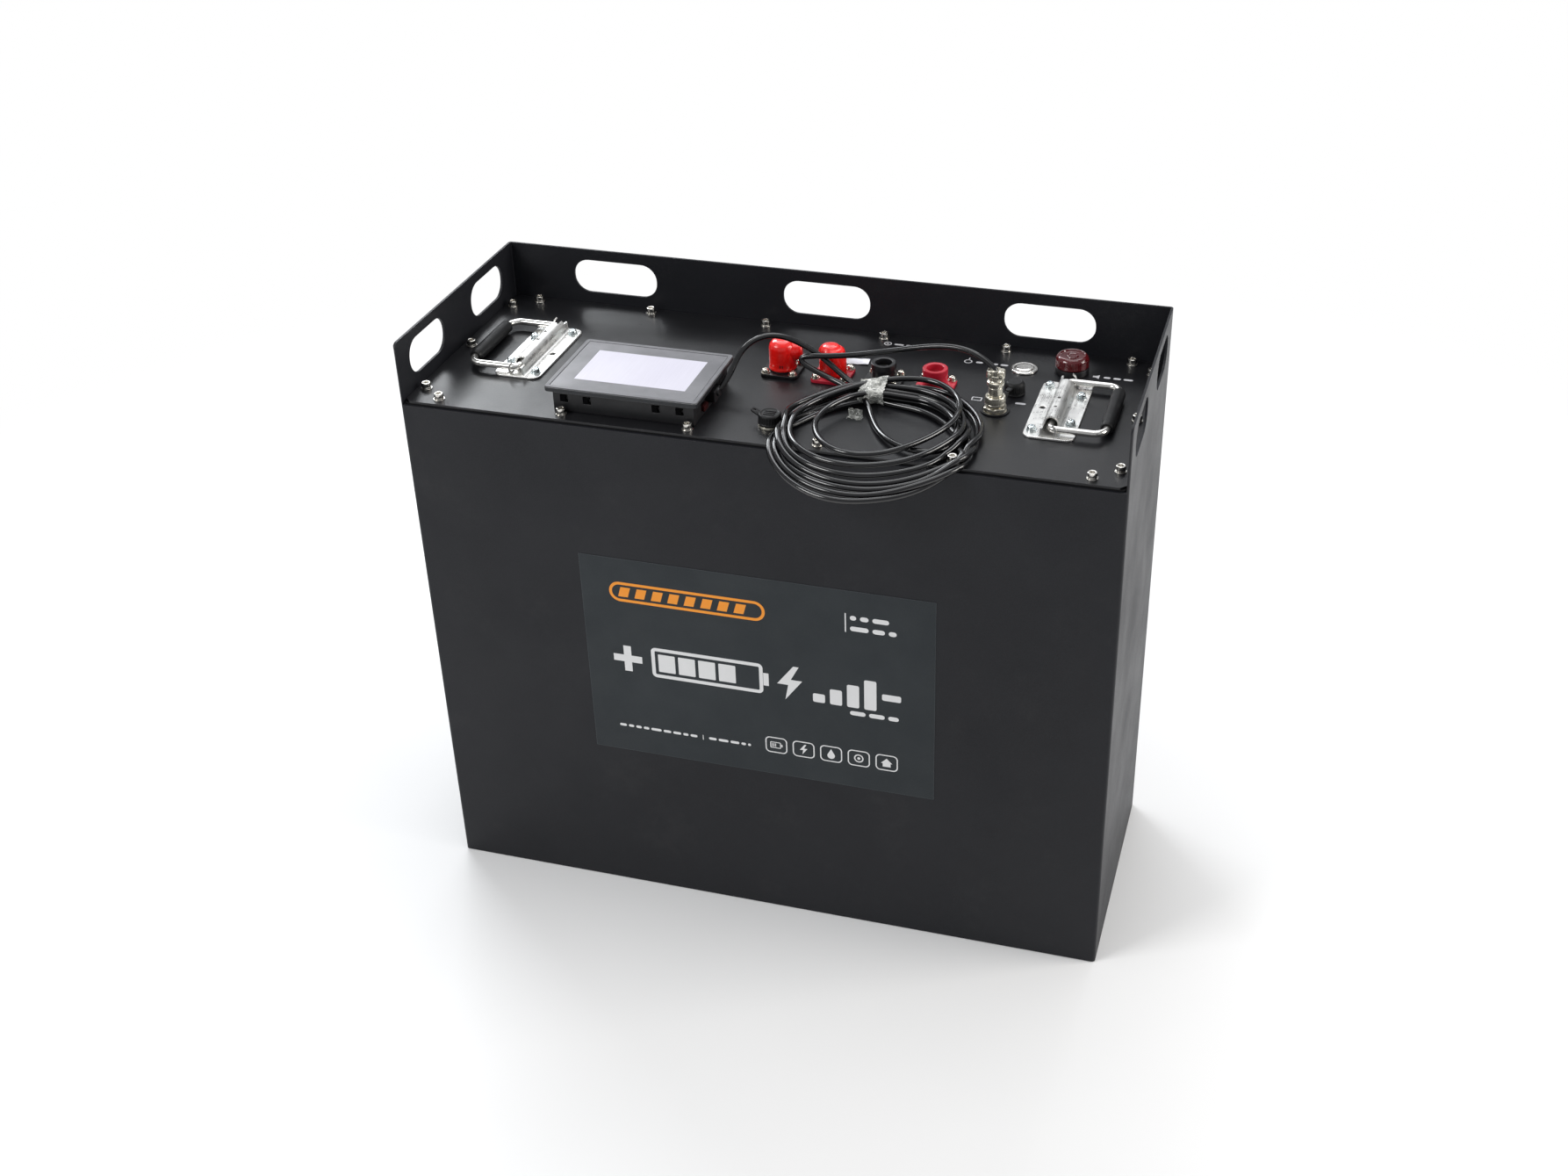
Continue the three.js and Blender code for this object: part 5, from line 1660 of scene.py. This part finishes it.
def label_gauge():
    x, z = -62.3, 329.5
    gauge = [rect(143, 20, 9.9, 12, x, z), rect(137.6, 14.6, 7.2, 10, x, z)]
    gauge += [outline(-120.5 + i * 15.2, z, GAUGE_CELL) for i in range(8)]
    printed("label_gauge", gauge, ORANGE_INK, LABEL_PRINT, UPRIGHT)


def label_marks():
    """Large symbols, rules and a row of five boxed symbols, in (x, z)."""
    marks = [outline(-121.5, 259.3, PLUS)]
    marks += battery_mark(-99, 243.6, 104, 31.5, cells=4, line=3.4, corner=4.5)
    marks.append(outline(29.5, 259.3, BOLT, 36))
    # height, x and z of four rising bars
    for height, x, z in ((9, 56, 248), (16, 71.5, 251.5), (23.5, 87, 255.3), (31, 102.5, 259)):
        marks.append(rect(11, height, 1.6, 4, x, z))
    marks += [rect(17, 6.6, 1.6, 4, 121.5, 259.3), rect(1.1, 19, 0.3, 2, 81.0, 331.2)]
    marks += dashes(85, 121, 336.6, 4.6, seed=3) + dashes(85, 126, 325.8, 4.6, seed=4)
    marks += dashes(84, 128, 237.6, 4.4, seed=5) + dashes(-135, -60, 184.6, 2.7, seed=6)
    marks += [rect(0.7, 5.4, 0.2, 2, -54.5, 184.6)] + dashes(-49, -9, 184.6, 2.7, seed=7)
    z = 189.0
    for i in range(5):
        x = 15.0 + i * 25.5
        marks += [rect(20.4, 17.2, 4.4, 8, x, z), rect(18.2, 15.0, 3.4, 8, x, z)]
    marks += battery_mark(9.3, 185.6, 10.0, 6.8, cells=3, line=0.8, corner=1.0)
    marks += [outline(40.5, z, BOLT, 11), drop(66, 188.6, 10.5)]
    marks += [circle(4.4, 28, 91.5, z), circle(3.2, 24, 91.5, z), circle(1.4, 16, 91.5, z)]
    marks.append(outline(117, z, ARROW))
    printed("label_marks", marks, WHITE_INK, LABEL_PRINT, UPRIGHT)


def lid_marks():
    """Small symbols beside the fittings, each with a row of dashes to its right."""
    x, y = 62.5, 96.0
    marks = [circle(3.6, 24, x, y), circle(2.6, 20, x, y), circle(1.1, 12, x, y)]
    marks += dashes(x + 6, x + 22, y, 2.8, seed=21)
    x, y = 140.5, 77.5
    marks += [circle(3.7, 24, x, y), circle(2.7, 20, x, y), rect(1.0, 3.6, 0.2, 2, x, y + 5.8)]
    marks += dashes(x + 7, x + 36, y, 3.2, seed=22)
    x, y = 163.5, 7.5
    marks += [rect(9.0, 6.4, 0.8, 3, x, y), rect(7.0, 4.4, 0.4, 3, x, y)]
    marks += dashes(x + 33, x + 47, y, 3.2, seed=23)
    x, y = 255.0, 74.5
    marks += [outline(x, y, HORN)] + dashes(x + 6, x + 34, y, 3.2, seed=24)
    printed("lid_marks", marks, LID_INK, LID_PRINT)


label_gauge()
label_marks()
lid_marks()

# ------------------------------------------------------------------ inside the tray
dress("ballast_block", RAW_STEEL, bevel=1.5)
dress("cell_module_left", CELL, bevel=0.8)
dress("cell_module_right", CELL, bevel=0.8)
dress("module_busbar", COPPER, bevel=0.4)
dress("electronics_shelf", ALLOY, bevel=0.3)
dress("bms_unit", ALLOY, bevel=0.3)
dress("main_fuse", FUSE, bevel=0.5)
dress("positive_lead", RED_LEAD)
dress("negative_lead", BLACK_LEAD)


# ------------------------------------------------------------------ stage, in metres from here
def floor_look():
    """Near-white floor that runs out to plain white, for the camera, away from the case."""
    look = Look("floor")
    mottle = look.cloud(noise=(1.5, 3), band=(0.3, 0.7))
    look.surface(
        colour=look.mix(mottle, base=(0.86, 0.86, 0.86), over=(0.90, 0.90, 0.90)),
        roughness=look.cloud(noise=(4, 3), band=(0.3, 0.7), to=(0.55, 0.7)),
        specular=0.2,
    )
    position = look.node("NewGeometry").outputs["Position"]
    length = look.node("VectorMath", {0: position}, operation="LENGTH").outputs["Value"]
    far = look.step(length, band=(0.75, 1.5))
    seen = look.node("LightPath").outputs["Is Camera Ray"]
    white = look.node("Emission", {0: (1, 1, 1)}).outputs[0]
    look.mix_shader(look.times(far, seen), under=look.shader.outputs[0], over=white)
    return look


def add_floor():
    half, z = 14.0, -0.0008
    corners = [(-half, -half, z), (half, -half, z), (half, half, z), (-half, half, z)]
    mesh = bpy.data.meshes.new("floor")
    mesh.from_pydata(corners, [], [(0, 1, 2, 3)])
    mesh.materials.append(floor_look().material)
    add_object("floor", mesh)


def add_world():
    """Soft cool light on the case, plain white to the camera."""
    world = bpy.data.worlds.new("studio")
    bpy.context.scene.world = world
    world.use_nodes = True
    tree = world.node_tree
    tree.nodes.clear()
    output = add_node(tree, "OutputWorld")
    light = add_node(tree, "Background", {"Color": (0.95, 0.97, 1.0), "Strength": 0.4})
    white = add_node(tree, "Background", {"Color": (1, 1, 1), "Strength": 1.0})
    seen = add_node(tree, "LightPath").outputs["Is Camera Ray"]
    mixed = add_node(tree, "MixShader", {0: seen, 1: light.outputs[0], 2: white.outputs[0]})
    feed(tree, output.inputs[0], mixed.outputs[0])


def area_light(name, at, target, size, power, colour=(1, 1, 1)):
    light = bpy.data.lights.new(name, "AREA")
    light.shape = "RECTANGLE"
    light.size, light.size_y = size
    light.energy = power
    light.color = colour
    ob = add_object(name, light)
    ob.location = at
    ob.rotation_euler = (Vector(target) - Vector(at)).to_track_quat("-Z", "Y").to_euler()
    ob.visible_camera = False


def add_camera():
    data = bpy.data.cameras.new("photo_camera")
    data.sensor_width = 36.0
    data.sensor_fit = "HORIZONTAL"
    data.lens = 43.472445
    data.shift_x = -0.042164054
    data.shift_y = -0.02599496
    data.clip_start = 0.05
    data.clip_end = 60
    camera = add_object("photo_camera", data)
    # columns: the camera's right, up and backward axes, then its place
    camera.matrix_world = Matrix(
        (
            (0.9629839, -0.1292800, 0.2365349, 0.45645),
            (0.2693066, 0.4993749, -0.8234674, -1.40801),
            (-0.0116617, 0.8566863, 0.5157059, 1.21378),
            (0, 0, 0, 1),
        )
    )
    bpy.context.scene.camera = camera


add_floor()
add_world()
area_light("key", at=(-2.1, -1.95, 2.5), target=(-0.1, 0, 0.35), size=(1.4, 1.1), power=54)
area_light(
    "fill_right", at=(2.2, 0.25, 1.25), target=(0.2, 0, 0.42), size=(1.1, 1.0), power=32,
    colour=(1.0, 0.97, 0.93),
)
area_light(
    "window", at=(-1.55, 1.54, 1.83), target=(-0.235, -0.085, 0.49), size=(1.15, 0.62),
    power=25, colour=(0.94, 0.97, 1.0),
)
area_light(
    "sky", at=(-0.45, 1.95, 2.75), target=(0.05, -0.05, 0.5), size=(2.2, 1.1), power=26,
    colour=(0.95, 0.97, 1.0),
)
area_light("top", at=(0.2, 0.1, 3.2), target=(0, 0, 0.4), size=(2.0, 2.0), power=22)
add_camera()
bpy.context.scene.view_settings.view_transform = "Standard"
bpy.context.scene.view_settings.look = "None"
